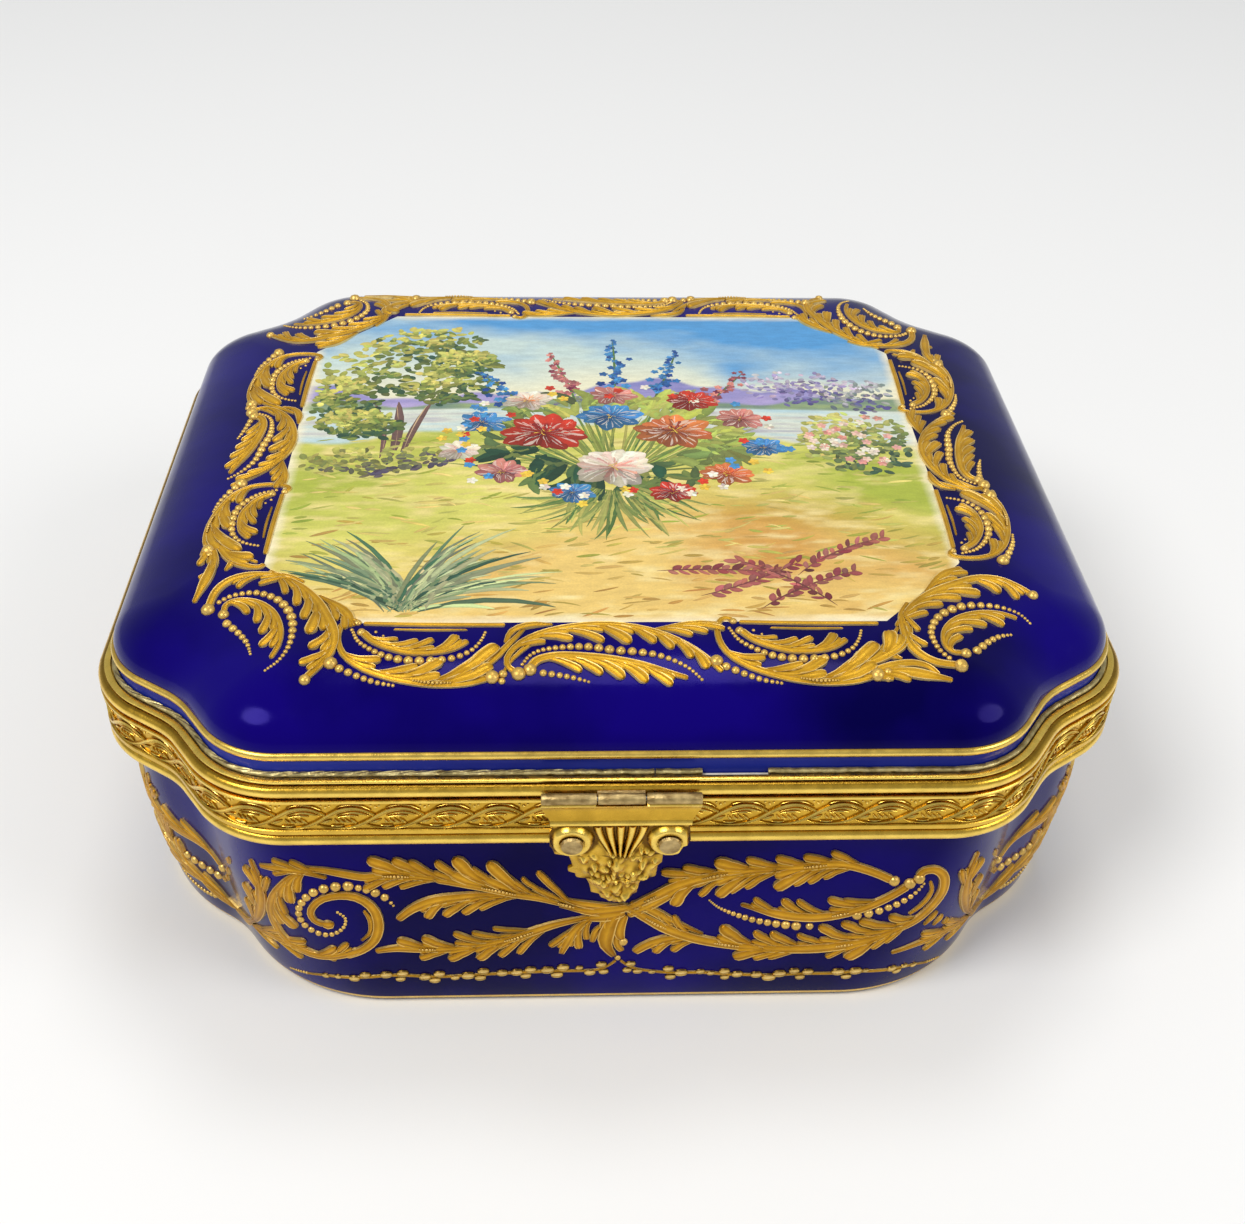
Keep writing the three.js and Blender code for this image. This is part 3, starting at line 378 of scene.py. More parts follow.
def sheet_faces(rows, columns, turned=False):
    """The faces of a thin closed sheet: its upper grid, its lower grid and the rim between
    them. turned is for a sheet whose rows run the other way."""
    cells, right, up = rows * columns, np.arange(columns - 1), np.arange(rows - 1)
    border = np.concatenate([right, up * columns + columns - 1, cells - 1 - right, (rows - 1 - up) * columns])
    after = np.roll(border, -1)
    faces = [grid_faces(rows, columns), grid_faces(rows, columns, first=cells)[:, ::-1],
             np.stack([after, border, border + cells, after + cells], -1)]
    return [part[:, ::-1] for part in faces] if turned else faces


def copies(faces, count, size):
    """The faces of one shape repeated for count copies that have size points each."""
    start = (np.arange(count) * size)[:, None, None]
    return (faces[None] + start).reshape(-1, faces.shape[-1])


# %% Places along a line
def run_along(points):
    """The length from the first point of a line to each of its points."""
    return np.concatenate([[0], np.cumsum(np.linalg.norm(np.diff(points, axis=0), axis=1))])


def places_at(at, run, points):
    """The places on a line of points where its run is at."""
    return np.stack([np.interp(at, run, column) for column in points.T], -1)


# %% [markdown]
# ## The plan of the box
#
# Seen from above, the box is a rectangle whose corners are drawn in by an S-curve: a convex
# arc, a short straight and a hollow arc on the diagonal. The foot has softer corners than the
# lid. One function gives that outline at any offset, and every ring of porcelain and brass is
# made from it. It starts in the middle of the front and runs counter-clockwise.

# %% Plan outline
HALF_WIDTH, HALF_DEPTH = 120.0, 108.0
CONVEX, FOOT_CONVEX, HOLLOW = 21.0, 42.0, 26.0
CORNER_TURN = math.radians(55.5)
STRAIGHT, FOOT_STRAIGHT = 8.0, 3.0
TIGHTEST = 6.0
ARC_STEPS, HOLLOW_STEPS, SIDE_STEPS = 18, 8, 12


def quarter_plan(offset, soften=0.0):
    """From the middle of the front to the middle of the right side, moved out by offset:
    a straight, then half a corner and its mirror image about the corner's diagonal."""
    convex = max(CONVEX + (FOOT_CONVEX - CONVEX) * soften + offset, TIGHTEST)
    straight = STRAIGHT + (FOOT_STRAIGHT - STRAIGHT) * soften
    hollow = HOLLOW - offset
    turn = np.linspace(0, CORNER_TURN, ARC_STEPS + 1)
    u, v = convex * np.sin(turn), convex * (1 - np.cos(turn))
    run = np.linspace(0, straight, 3)[1:]
    u1, v1 = u[-1] + run * math.cos(CORNER_TURN), v[-1] + run * math.sin(CORNER_TURN)
    turn = np.linspace(CORNER_TURN, math.pi / 4, HOLLOW_STEPS + 1)[1:]
    u2 = u1[-1] + hollow * (math.sin(CORNER_TURN) - np.sin(turn))
    v2 = v1[-1] + hollow * (np.cos(turn) - math.cos(CORNER_TURN))
    u, v = np.concatenate([u, u1, u2]), np.concatenate([v, v1, v2])
    a, b = HALF_WIDTH + offset, HALF_DEPTH + offset
    x, y = a - u[-1] - v[-1] + u, v - b
    mirror_x, mirror_y = a - (y + b), -b + (a - x)
    front = np.linspace(0, x[0], SIDE_STEPS + 1)[:-1]
    side = np.linspace(mirror_y[0], 0, SIDE_STEPS + 1)[1:]
    return np.column_stack([
        np.concatenate([front, x, mirror_x[::-1][1:], np.full(SIDE_STEPS, a)]),
        np.concatenate([np.full(SIDE_STEPS, -b), y, mirror_y[::-1][1:], side]),
    ])


def plan(offset, soften=0.0):
    """The whole outline as a closed loop of points: a quarter and its three mirror images."""
    q = quarter_plan(offset, soften)
    back = (q * [1, -1])[::-1][1:]
    left = (q * [-1, -1])[1:]
    front = (q * [-1, 1])[::-1][1:-1]
    return np.vstack([q, back, left, front])


def closed_plan(offset):
    """The whole outline with its first point again at the end."""
    loop = plan(offset)
    return np.vstack([loop, loop[:1]])


AROUND = len(plan(0))
print("outline points", AROUND)

# %% [markdown]
# ## Porcelain body
#
# The body was slip-cast in one piece: a foot ring, walls that swell a little above the foot, and
# a straight neck that the mount is bedded on. It is a stack of plan outlines, each with its own
# offset, height and softness of corner. Outside it is cobalt with a gilded line at the foot,
# inside and underneath it is white.

# %% Rings of porcelain and brass
SPLINE_CUTS = 16


def smooth_line(points, count):
    """A smooth curve through the points: a Catmull-Rom spline, cut into count places of equal
    length. Returns the places and the curve's length."""
    p = np.asarray(points, float)
    ends = np.vstack([2 * p[0] - p[1], p, 2 * p[-1] - p[-2]])
    a, b, c, d = (ends[k:len(ends) - 3 + k, None, :] for k in range(4))
    t = np.linspace(0, 1, SPLINE_CUTS, endpoint=False)[None, :, None]
    dense = 0.5 * (2 * b + (c - a) * t + (2 * a - 5 * b + 4 * c - d) * t ** 2
                   + (3 * b - a - 3 * c + d) * t ** 3)
    dense = np.vstack([dense.reshape(-1, p.shape[1]), p[-1:]])
    run = run_along(dense)
    return places_at(np.linspace(0, run[-1], count), run, dense), run[-1]


def arc_line(centre_out, centre_z, radius, start, end, steps):
    """Points of an arc in a section, as offset and height, from start to end in degrees."""
    t = np.radians(np.linspace(start, end, steps + 1))
    return np.column_stack([centre_out + radius * np.cos(t), centre_z + radius * np.sin(t)])


def with_soften(section, soften=0.0):
    """A section of offsets and heights, given the same corner softness all along."""
    section = np.asarray(section, float)
    return np.column_stack([section, np.full(len(section), soften)])


def ring_points(section):
    """One plan outline for each row (offset, height, soften) of a section."""
    return np.stack([np.column_stack([plan(o, s), np.full(AROUND, z)]) for o, z, s in section])


def ring_part(section, material, level=None, closed=False):
    """A skin of rings. level is each row's colour between the painted shade of a hollow (0) and the painted
    highlight of a ridge (1).
    """
    section = np.asarray(section, float)
    relief = np.ones((len(section), AROUND, 3))
    if level is not None:
        relief[:, :, 2] = np.asarray(level)[:, None]
    faces = grid_faces(len(section), AROUND, wrap_rows=closed, wrap_columns=True)
    return ring_points(section), [faces], material, relief


def fan_faces(count):
    """Triangles from a ring of count points to one point that comes after them."""
    i = np.arange(count)
    return np.column_stack([i, (i + 1) % count, np.full(count, count)])


def pole_part(ring, middle_z, material, upwards):
    """A ring of points closed by a fan of triangles to a middle point."""
    points, fan = np.vstack([ring, [0, 0, middle_z]]), fan_faces(AROUND)
    return points, [fan if upwards else fan[:, ::-1]], material, None


# %% Body
BODY_LINE = [(-0.8, 0, 1), (0.7, 3, 1), (1.4, 14, 0.85), (1.05, 35, 0.4), (-0.3, 50, 0.1), (-0.6, 56, 0)]
FOOT_LINE_FOOT, FOOT_LINE_TOP = 0.3, 2.5
RIM_Z, RIM_INSIDE, FLOOR_Z, FLOOR_ROUND = 70.6, -6.1, 10.0, 6.0


def body_wall(count):
    """The outside of the wall from the foot to the neck."""
    line, _ = smooth_line(BODY_LINE, 60)
    heights = np.concatenate([[0, FOOT_LINE_FOOT, FOOT_LINE_TOP - 0.7, FOOT_LINE_TOP],
                              np.linspace(4, 56, count - 4)])
    return np.column_stack([np.interp(heights, line[:, 1], line[:, 0]), heights,
                            np.interp(heights, line[:, 1], line[:, 2])])


wall = body_wall(34)
outside = np.vstack([wall, [-0.6, RIM_Z, 0], [RIM_INSIDE, RIM_Z, 0]])
floor_curve = arc_line(RIM_INSIDE - FLOOR_ROUND, FLOOR_Z + FLOOR_ROUND, FLOOR_ROUND, 0, -90, 6)
inside = np.vstack([[RIM_INSIDE, RIM_Z, 0], [RIM_INSIDE, 56, 0], [RIM_INSIDE, 45, 0.2],
                    [RIM_INSIDE, 35, 0.4], [RIM_INSIDE, 25, 0.63], with_soften(floor_curve, 0.85)])
foot = np.array([[-8.8, 3, 1], [-8.2, 1, 1], [-7.8, 0, 1], [-0.8, 0, 1]])
body_parts = [
    ring_part(foot, WHITE_GLAZE),
    ring_part(outside[:2], COBALT),
    # the gold foot line's middle row takes a painted highlight, its edge rows the plain face colour
    ring_part(outside[1:4], LINE_GOLD, [0.3, 1, 0.3]),
    ring_part(outside[3:], COBALT),
    ring_part(inside, WHITE_GLAZE),
    pole_part(ring_points(foot[:1])[0], 3, WHITE_GLAZE, upwards=False),
    pole_part(ring_points(inside[-1:])[0], FLOOR_Z, WHITE_GLAZE, upwards=True),
]
make_piece("body_glazed", body_parts, "base", ["body_porcelain"])

# %% [markdown]
# ## Domed lid
#
# The lid rises from its mount as a plain blue band, then a raised gilded bead, and above that
# the shoulder rolls over in a quarter of an ellipse to a nearly flat crown. The same formula
# gives the height under any point of the plan, because the raised gold and the painting have to
# lie exactly on this surface.

# %% Lid surface
LID_EDGE_Z, DOME_RISE, CROWN_RISE, DOME_ROLL = 83.4, 12.8, 1.35, 28.0
LID_WALL, LID_RIM_Z, BEAD_FOOT_Z, BEAD_OUT = 5.4, 75.6, 80.8, 0.9
ANGLES = np.linspace(-math.pi / 2, 1.5 * math.pi, 2161)
INSETS = np.concatenate([np.linspace(-1, 3, 9)[:-1], np.linspace(3, DOME_ROLL, 34)])


def shoulder_height(inset):
    """Height on the shoulder at an inset from the lid's edge: a quarter of an ellipse."""
    reach = 1 - np.clip(inset, 0, DOME_ROLL) / DOME_ROLL
    return LID_EDGE_Z + DOME_RISE * np.sqrt(1 - reach ** 2)


def crown_height(share):
    """Height on the crown, share being 0 in the middle and 1 where the shoulder begins."""
    return LID_EDGE_Z + DOME_RISE + CROWN_RISE * (1 - share ** 2) ** 2


def radii(offset):
    """How far the outline at this offset lies from the middle, for each of ANGLES."""
    loop = plan(offset)
    angle = np.unwrap(np.arctan2(loop[:, 1], loop[:, 0]))
    return np.interp(ANGLES, np.append(angle, angle[0] + 2 * math.pi), np.hypot(*closed_plan(offset).T))


RADII = np.stack([radii(-inset) for inset in INSETS])


def lid_height(x, y):
    """Height of the lid's outside above a point of the plan. The point's distance from the
    middle is compared with the outlines at all insets in its direction."""
    x, y = np.broadcast_arrays(np.asarray(x, float), np.asarray(y, float))
    r, angle = np.hypot(x, y).ravel(), np.arctan2(y, x).ravel()
    angle = np.where(angle < ANGLES[0], angle + 2 * math.pi, angle)
    place = (angle - ANGLES[0]) / (ANGLES[1] - ANGLES[0])
    low = np.minimum(place.astype(int), len(ANGLES) - 2)
    edges = RADII[:, low] + (RADII[:, low + 1] - RADII[:, low]) * (place - low)
    k = np.clip((edges > r).sum(0) - 1, 0, len(INSETS) - 2)
    column = np.arange(len(r))
    outer, inner = edges[k, column], edges[k + 1, column]
    inset = INSETS[k] + (INSETS[k + 1] - INSETS[k]) * np.clip((outer - r) / (outer - inner), 0, 1)
    share = np.clip(r / edges[-1], 0, 1)
    return np.where(r < edges[-1], crown_height(share), shoulder_height(inset)).reshape(x.shape)


SHOULDER = 1 - np.cos(np.linspace(0, math.pi / 2, 20))
dome = np.array([[-DOME_ROLL * s, shoulder_height(DOME_ROLL * s), 0] for s in SHOULDER])
under = np.array([[-DOME_ROLL * s - LID_WALL, shoulder_height(DOME_ROLL * s) - LID_WALL, 0]
                  for s in SHOULDER[3::3][::-1]])
bead = with_soften(arc_line(BEAD_OUT - 1.1, BEAD_FOOT_Z + 1.3, 1.1, -80, 80, 8))
crown_ring = ring_points(dome[-1:])[0]
crown_shares = np.linspace(1, 0, 33)[:-1]
crown_points = np.stack([crown_ring * [s, s, 0] + [0, 0, crown_height(s)] for s in crown_shares])
lid_parts = [
    ring_part([[-LID_WALL, LID_RIM_Z, 0], [0, LID_RIM_Z, 0], [0, BEAD_FOOT_Z, 0], bead[0]], BAND_BLUE),
    # the bead's gold is painted darker at its foot as painted shade and brightest on top as a painted
    # highlight
    ring_part(bead, LINE_GOLD, [0.2, 0.6, 0.9, 1, 1, 1, 0.9, 0.6, 0.3]),
    ring_part(np.vstack([bead[-1:], dome]), COBALT),
    (crown_points, [grid_faces(len(crown_shares), AROUND, wrap_columns=True)], COBALT, None),
    pole_part(crown_points[-1], crown_height(0), COBALT, upwards=True),
    ring_part(np.vstack([under, [-LID_WALL, LID_RIM_Z + 4, 0], [-LID_WALL, LID_RIM_Z, 0]]), WHITE_GLAZE),
    pole_part(ring_points(under[:1])[0], under[0][1] + 1, WHITE_GLAZE, upwards=False),
]
make_piece("lid_glazed", lid_parts, "lid", ["lid_porcelain"])

# %% [markdown]
# ## Gilt mounts
#
# Each mount is a moulding carried round the plan. The lid's has a half-round torus, a groove and
# a fillet. The base's has a sunk land for the frieze between two fillets and a bead at the bottom.
# The level of each row sets its gilding from brown to bright: painted shade in the grooves and on
# the upper side of the torus and the bead, a painted highlight on their lower front and the fillets.

# %% Mounts
PARTING_Z, MOUNT_OUT, FLANGE_INSIDE, FLANGE = 73.1, 4.9, -6.4, 1.2
FRIEZE_OUT, FRIEZE_FOOT, FRIEZE_TOP = 4.1, 64.1, 72.2
MOUNT_FOOT = 58.6

lid_foot = PARTING_Z + 0.3
torus = arc_line(3.3, lid_foot + 1.6, 1.6, -85, 72, 12)
lid_section = np.vstack([
    [FLANGE_INSIDE, lid_foot], [3.0, lid_foot], torus,
    [2.75, 76.45], [2.45, 76.55], [2.5, 76.75], [3.1, 76.85], [3.25, 77.0], [3.2, 77.25],
    [2.9, 77.4], [1.75, 77.4], [1.7, 77.3], [1.7, 76.6], [1.4, 76.6], [1.4, lid_foot + FLANGE],
    [FLANGE_INSIDE, lid_foot + FLANGE]])
# painted light on the torus: a painted highlight on its lower front, brown painted shade on its upper side
torus_level = np.interp(np.linspace(-85, 72, len(torus)), [-85, -40, 8, 34, 72], [0.3, 0.9, 1, 0.42, 0.12])
# lid mount rows: painted shade in the groove, a painted highlight on the fillet
lid_level = np.concatenate([[0.4, 0.1], torus_level,
                            [0.15, 0.0, 0.1, 0.6, 1, 1, 0.9, 0.7, 0.4, 0.2, 0.3, 0.3, 0.3]])
make_piece("lid_mount_gilt", [ring_part(with_soften(lid_section), ORMOLU, lid_level, closed=True)],
           "lid", ["lid_mount"])

bead_row = arc_line(MOUNT_OUT - 1.95, MOUNT_FOOT + 1.65, 1.65, -90, 78, 12)
base_section = np.vstack([
    [0.8, MOUNT_FOOT + 0.3], [2.0, MOUNT_FOOT + 0.05], bead_row,
    [2.85, 62.15], [2.75, 62.4], [2.95, 62.6], [4.35, 62.65], [4.6, 62.8], [4.6, 63.85], [4.45, 64.0],
    [FRIEZE_OUT, 64.1], [FRIEZE_OUT, 68.2], [FRIEZE_OUT, 72.2],
    [4.75, 72.25], [MOUNT_OUT, 72.4], [MOUNT_OUT, 72.9], [4.7, PARTING_Z],
    [FLANGE_INSIDE, PARTING_Z], [FLANGE_INSIDE, PARTING_Z - FLANGE], [0.8, PARTING_Z - FLANGE]])
# painted light on the bead: a painted highlight on its lower front, brown painted shade on its upper side
bead_level = np.interp(np.linspace(-90, 78, len(bead_row)), [-90, -30, 10, 40, 78], [0.3, 0.8, 1, 0.4, 0.1])
# base mount rows: painted shade in the grooves and on the frieze land, a painted highlight on the fillets
base_level = np.concatenate([[0.2, 0.3], bead_level, [0.1, 0.0, 0.1, 0.3, 0.55, 0.5, 0.25,
                             0.25, 0.36, 0.3, 0.4, 0.9, 0.9, 0.4, 0.3, 0.3, 0.3]])
make_piece("base_mount_gilt", [ring_part(with_soften(base_section), ORMOLU, base_level, closed=True)],
           "base", ["base_mount"])

# %% [markdown]
# ## A stroke of raised gold
#
# The decorator trailed paste with a fine brush: each leaf lobe, scroll and rail is one stroke
# that starts thin, swells and ends round. Here a stroke is a curve with a half-width along it,
# and a section across it that is a low mound with shallow flutes. Strokes are worked out flat,
# all together as arrays of (across, along, height), and only then laid on the lid, the body or
# the mount by a function that carries flat places to the surface.

# %% Strokes and pearls
ACROSS = np.array([-1, -0.9, -0.66, -0.35, 0, 0.35, 0.66, 0.9, 1])
MOUND = np.array([-0.25, 0.84, 0.66, 0.78, 1, 0.78, 0.66, 0.84, -0.25])
TINY_STROKE, LONG_STROKE = 3.4, 20.0
TINY_STATIONS, SHORT_STATIONS, LONG_STATIONS = 7, 12, 34
LINE_POINTS = 64
FULLEST = 0.62


def stations(count):
    """Shares of a stroke's length at which its section is cut, closer together at the ends."""
    t = np.linspace(0, 1, count)
    return 0.05 * t + 0.95 * (0.5 - 0.5 * np.cos(t * math.pi))


def ease(t):
    """0 to 1 with a soft start and a soft end."""
    t = np.clip(t, 0, 1)
    return t * t * (3 - 2 * t)


def stroke(points, start, belly, end, lift, fullest=FULLEST):
    """One stroke through the points. Its half-width eases from start to belly, which it reaches
    at the share fullest of its length, then to end, and both ends are rounded off as circles.
    Returns places with heights and the relief values, both (stations, 9, 3)."""
    line, length = smooth_line(points, LINE_POINTS)
    t = stations(LONG_STATIONS if length > LONG_STROKE else
                 SHORT_STATIONS if length > TINY_STROKE else TINY_STATIONS)
    at = places_at(t, np.linspace(0, 1, LINE_POINTS), line)
    way = np.gradient(at, t, axis=0)
    way /= np.linalg.norm(way, axis=1, keepdims=True)
    side = np.column_stack([-way[:, 1], way[:, 0]])
    half = np.where(t < fullest, start + (belly - start) * ease(t / fullest),
                    belly + (end - belly) * ease((t - fullest) / (1 - fullest)))
    for gap, radius in ((t * length, max(start, 0.05)), ((1 - t) * length, max(end, 0.05))):
        short = np.clip(1 - gap / radius, 0, 1)
        half = half * np.sqrt(np.clip(1 - short ** 2, 0.0025, 1))
    flat = at[:, None, :] + side[:, None, :] * (half[:, None] * ACROSS)[:, :, None]
    rise = lift * np.sqrt(np.clip(half / max(belly, start, end), 0.03, 1))
    height = np.where(MOUND < 0, MOUND * 0.5, rise[:, None] * MOUND)
    # the gold finishes read this height as painted shade at a stroke's foot and a painted highlight on its
    # top
    relief = np.stack([np.broadcast_to(ACROSS, height.shape),
                       np.broadcast_to((t * length)[:, None], height.shape),
                       np.clip(height / lift, 0, 1) ** 1.5], -1)
    return np.concatenate([flat, height[:, :, None]], -1), relief


def stroke_parts(strokes, place, material):
    """The strokes as parts, one for each number of stations. place carries (n, 2) flat places
    and heights to (n, 3) points. A stroke is closed underneath and its ends are capped."""
    parts, columns = [], len(ACROSS)
    for rows in (TINY_STATIONS, SHORT_STATIONS, LONG_STATIONS):
        chosen = [s for s in strokes if len(s[0]) == rows]
        if chosen:
            shapes, relief = (np.stack(values) for values in zip(*chosen))
            flat = shapes.reshape(-1, 3)
            faces = [copies(part, len(chosen), rows * columns) for part in tube_faces(rows, columns)]
            parts.append((place(flat[:, :2], flat[:, 2]), faces, material, relief))
    return parts


PEARL_SIDES, PEARL_LINE_POINTS = 10, 200
PEARL_RINGS = np.array([[1.0, -0.25], [0.93, 0.3], [0.62, 0.8]])


def pearl_part(pearls, place, material):
    """Pearls (x, y, radius, height of the foot) as low domes: three rings and a top, closed
    underneath."""
    pearls = np.asarray(pearls, float)
    turn = np.linspace(0, 2 * math.pi, PEARL_SIDES, endpoint=False)
    circle = np.column_stack([np.cos(turn), np.sin(turn)])
    rings = np.concatenate([r * circle for r, _ in PEARL_RINGS] + [[[0, 0]]])
    heights = np.concatenate([np.repeat(PEARL_RINGS[:, 1], PEARL_SIDES), [1.0]])
    flat = pearls[:, None, :2] + rings[None] * pearls[:, None, 2:3]
    height = heights[None] * np.maximum(pearls[:, 2:3], 0.25) * 0.85 + pearls[:, 3:4]
    points = place(flat.reshape(-1, 2), height.ravel())
    dome = (grid_faces(3, PEARL_SIDES, wrap_columns=True), fan_faces(PEARL_SIDES) + 2 * PEARL_SIDES,
            np.arange(PEARL_SIDES)[::-1][None])
    faces = [copies(part, len(pearls), len(rings)) for part in dome]
    # the height per ring gives each pearl painted shade round its foot and lighter colour above
    relief = np.ones((len(points), 3))
    relief[:, 2] = np.clip(np.tile(heights, len(pearls)), 0, 1)
    return points, faces, material, relief


def pearl_row(points, start, middle, end, gap, foot):
    """Pearls along a curve, their middles gap times their width apart. The radius goes from
    start to middle in the first half and to end in the second."""
    line, length = smooth_line(points, PEARL_LINE_POINTS)
    run, row = 0.0, []
    while run <= length:
        t = run / length
        first, last, share = (start, middle, 2 * t) if t < 0.5 else (middle, end, 2 * t - 1)
        radius = first + (last - first) * ease(share)
        row.append((*places_at(t, np.linspace(0, 1, PEARL_LINE_POINTS), line), radius, foot))
        run += 2 * radius * gap
    return row

# %% [markdown]
# ## Collecting a design
#
# A design is a list of strokes and pearls. Its places pass through a carrying function first,
# so one drawing of a cartouche can be carried to every side of the box, mirrored or turned.
#
# A leaf is a spine with lobes. The decorator pulled every lobe out of the spine: it runs beside
# it for a while, so that the lobes lie close together with creases between them, and only then
# bends away to a round tip. A shorter lobe lies inside each one and fills the leaf.

# %% Design collector
RUN_BESIDE, RIB_FOOT = 8.0, 0.78
SPINE_POINTS, LOBE_POINTS = 96, 8


class Design:
    """Strokes, pearls and berries, drawn in places that carry moves to where they lie."""

    def __init__(self, bold, gold):
        self.strokes, self.pearls, self.berries = [], [], []
        self.bold, self.gold, self.carry = bold, gold, lambda places: places

    def line(self, points, start, belly, end, fullest=FULLEST, lift=None):
        """One stroke. A broad one stands higher than a thin one."""
        start, belly, end = self.bold * start, self.bold * belly, self.bold * end
        lift = 0.36 + 0.28 * max(belly, start, end) if lift is None else lift
        self.strokes.append(stroke(self.carry(np.asarray(points, float)), start, belly, end, lift, fullest))

    def lobes(self, spine, tips, width=1.0):
        """A lobe for every tip (x, y, half-width if not width). It starts on the spine, RUN_BESIDE
        and its own reach before the place nearest to the tip. At a share t of its length it lies
        at the spine's own place plus t to the power 1.8 of the way out to the tip."""
        line, length = smooth_line(self.carry(np.asarray(spine, float)), SPINE_POINTS)
        for x, y, *own in tips:
            half = self.bold * (own[0] if own else width)
            tip = self.carry(np.array([[x, y]], float))[0]
            away = np.linalg.norm(line - tip, axis=1)
            near = int(away.argmin())
            root = max(near - int((RUN_BESIDE + away[near]) / length * (SPINE_POINTS - 1)), 0)
            beside = line[np.linspace(root, near, LOBE_POINTS).round().astype(int)]
            t = np.linspace(0, 1, LOBE_POINTS)[:, None]
            for out, fat, rise in ((0.36, 0.85, 0.42), (1.0, 1.0, 0.56)):
                curve = beside + (tip - line[near]) * out * t ** 1.8
                lobe = stroke(curve, 0.3, half * fat, half * fat * 0.9, rise + 0.22 * half, 0.86)
                self.strokes.append(lobe)

    def leaf(self, spine, start, belly, end, tips=(), width=1.0, fullest=FULLEST):
        """A spine and its lobes."""
        self.lobes(spine, tips, width)
        self.line(spine, start, belly, end, fullest)

    def beads(self, points, start, middle, end, gap=1.06, foot=0.0):
        """A row of touching pearls along a curve, standing on the glaze or, with foot, on a leaf."""
        self.pearls += pearl_row(self.carry(np.asarray(points, float)),
                                 *(self.bold * r for r in (start, middle, end)), gap, foot)

    def rib_beads(self, *rows):
        """Rows of tiny beads on top of the leaves."""
        for points in rows:
            self.beads(points, 0.22, 0.36, 0.2, 1.12, RIB_FOOT)

    def dots(self, *dots):
        """Single pearls (x, y, radius)."""
        for x, y, radius in dots:
            self.pearls.append((*self.carry(np.array([[x, y]], float))[0], self.bold * radius, 0.0))

    def berry(self, x, y, thick):
        """A plump berry, longer than thick."""
        places = np.array([(x - 1.6 * thick, y - 0.15), (x, y), (x + 1.6 * thick, y + 0.15)])
        self.berries.append(stroke(self.carry(places), thick * 0.8, thick, thick * 0.8,
                                   0.2 + 0.55 * thick, 0.5))

    def parts(self, place):
        """Everything collected, laid on a surface."""
        berries = stroke_parts(self.berries, place, BERRY_GOLD) if self.berries else []
        return [*stroke_parts(self.strokes, place, self.gold), *berries,
                pearl_part(self.pearls, place, PEARL_GOLD)]


# %% [markdown]
# ## Gold border of the lid
#
# The border follows the photograph. Each side has a cartouche at either end, a rail along the
# panel with a hooked scroll hung from it, and an arch of leaves between them. A pair of crossed
# bands fills every corner. The whole border turns four times round the panel. It is drawn once
# for the front and the front left corner.

# %% Lid border
PANEL_HALF_WIDTH, PANEL_HALF_DEPTH = 83.0, 76.5
CORNER_DRAWN_AT = np.array([-73.0, -65.0])
CORNER_CARRIED_TO = [(-73, -65), (71.5, -70), (73, 65), (-71.5, 70)]
CARTOUCHE_STEP = 86.5


def quarter_turns(p, turns):
    """Places turned counter-clockwise by a number of quarter turns."""
    for _ in range(turns):
        p = np.stack([-p[..., 1], p[..., 0]], -1)
    return p


def side_carry(turns, shift=0.0):
    """From the front border to another side: the place along it and the distance out from the
    panel are kept, a little shortened for the narrower sides."""
    def carry(p):
        along, out = p[:, 0] + shift, -p[:, 1] - PANEL_HALF_DEPTH
        if turns % 2:
            along, out = 0.83 * along, PANEL_HALF_WIDTH - 0.5 + 0.87 * out
        else:
            out = PANEL_HALF_DEPTH + (0.85 if turns else 1.0) * out
        return quarter_turns(np.stack([along, -out], -1), turns)
    return carry


def corner_carry(turns):
    """From the front left corner to another one."""
    def carry(p):
        rel = quarter_turns(p - CORNER_DRAWN_AT, turns)
        return rel * ((0.92, 1.04) if turns % 2 else (1, 1)) + CORNER_CARRIED_TO[turns]
    return carry


def cartouche(d):
    """A rail, a hooked outer scroll, a leaf under the rail and the pearls between them."""
    hook = [(-59.8, -77.7), (-61.8, -76.8), (-63.4, -79.2), (-63.8, -83), (-63.2, -86.5), (-61.4, -89.8),
            (-58, -92.6), (-53.8, -94.6), (-48.3, -96.2), (-41.3, -97.2), (-34.3, -97), (-29, -95.6)]
    d.line([(-58.5, -78.4), (-43, -79), (-26, -79.2)], 0.5, 0.55, 0.5)
    d.line([(-51.5, -80.6), (-43, -81), (-34.5, -80.9)], 0.2, 0.28, 0.2)
    d.leaf(hook, 0.6, 0.75, 0.7, [(-53.4, -90.5, 0.95), (-45, -92.4, 0.95), (-39.7, -90.9, 1.25),
                                  (-31, -90.2, 1.1), (-27.4, -86.4, 1.55)])
    d.dots((-28.6, -95.4, 1.45), (-26.2, -94.6, 0.9), (-26.4, -96.4, 0.7), (-59.8, -78, 0.8))
    d.rib_beads([(-46, -96.5), (-42, -97.1), (-37.5, -97.1)])
    d.line([(-37, -96.5), (-31.7, -94), (-28, -90.3), (-24.3, -85), (-21.6, -80.6)], 0.4, 0.7, 0.4)
    d.leaf([(-58.6, -81.4), (-55.5, -84.9), (-51, -87.3), (-46.6, -88.5), (-41.2, -88.3), (-37.4, -87.2),
            (-34.2, -84.8)],
           0.8, 0.75, 0.7, [(-50, -84.2, 0.6), (-45.4, -84.6, 0.75), (-42, -84.2, 0.8),
                            (-36.9, -82.8, 1.05)])
    d.dots((-58.6, -81.6, 0.95), (-55.4, -81.4, 0.35), (-53.6, -82.8, 0.3))
    d.beads([(-60.9, -80.6), (-58.9, -84.9), (-54.6, -88.4), (-50.5, -90.2), (-45, -90.9),
             (-37.9, -90.2), (-33.5, -87.8), (-31.4, -84.6), (-30.4, -81.4)], 0.4, 1.0, 0.35)
    d.dots((-64.7, -91.4, 1.4))
    d.beads([(-62.6, -92.9), (-58.6, -94.9), (-54.4, -96.5), (-50, -97.4)], 0.9, 0.65, 0.35)


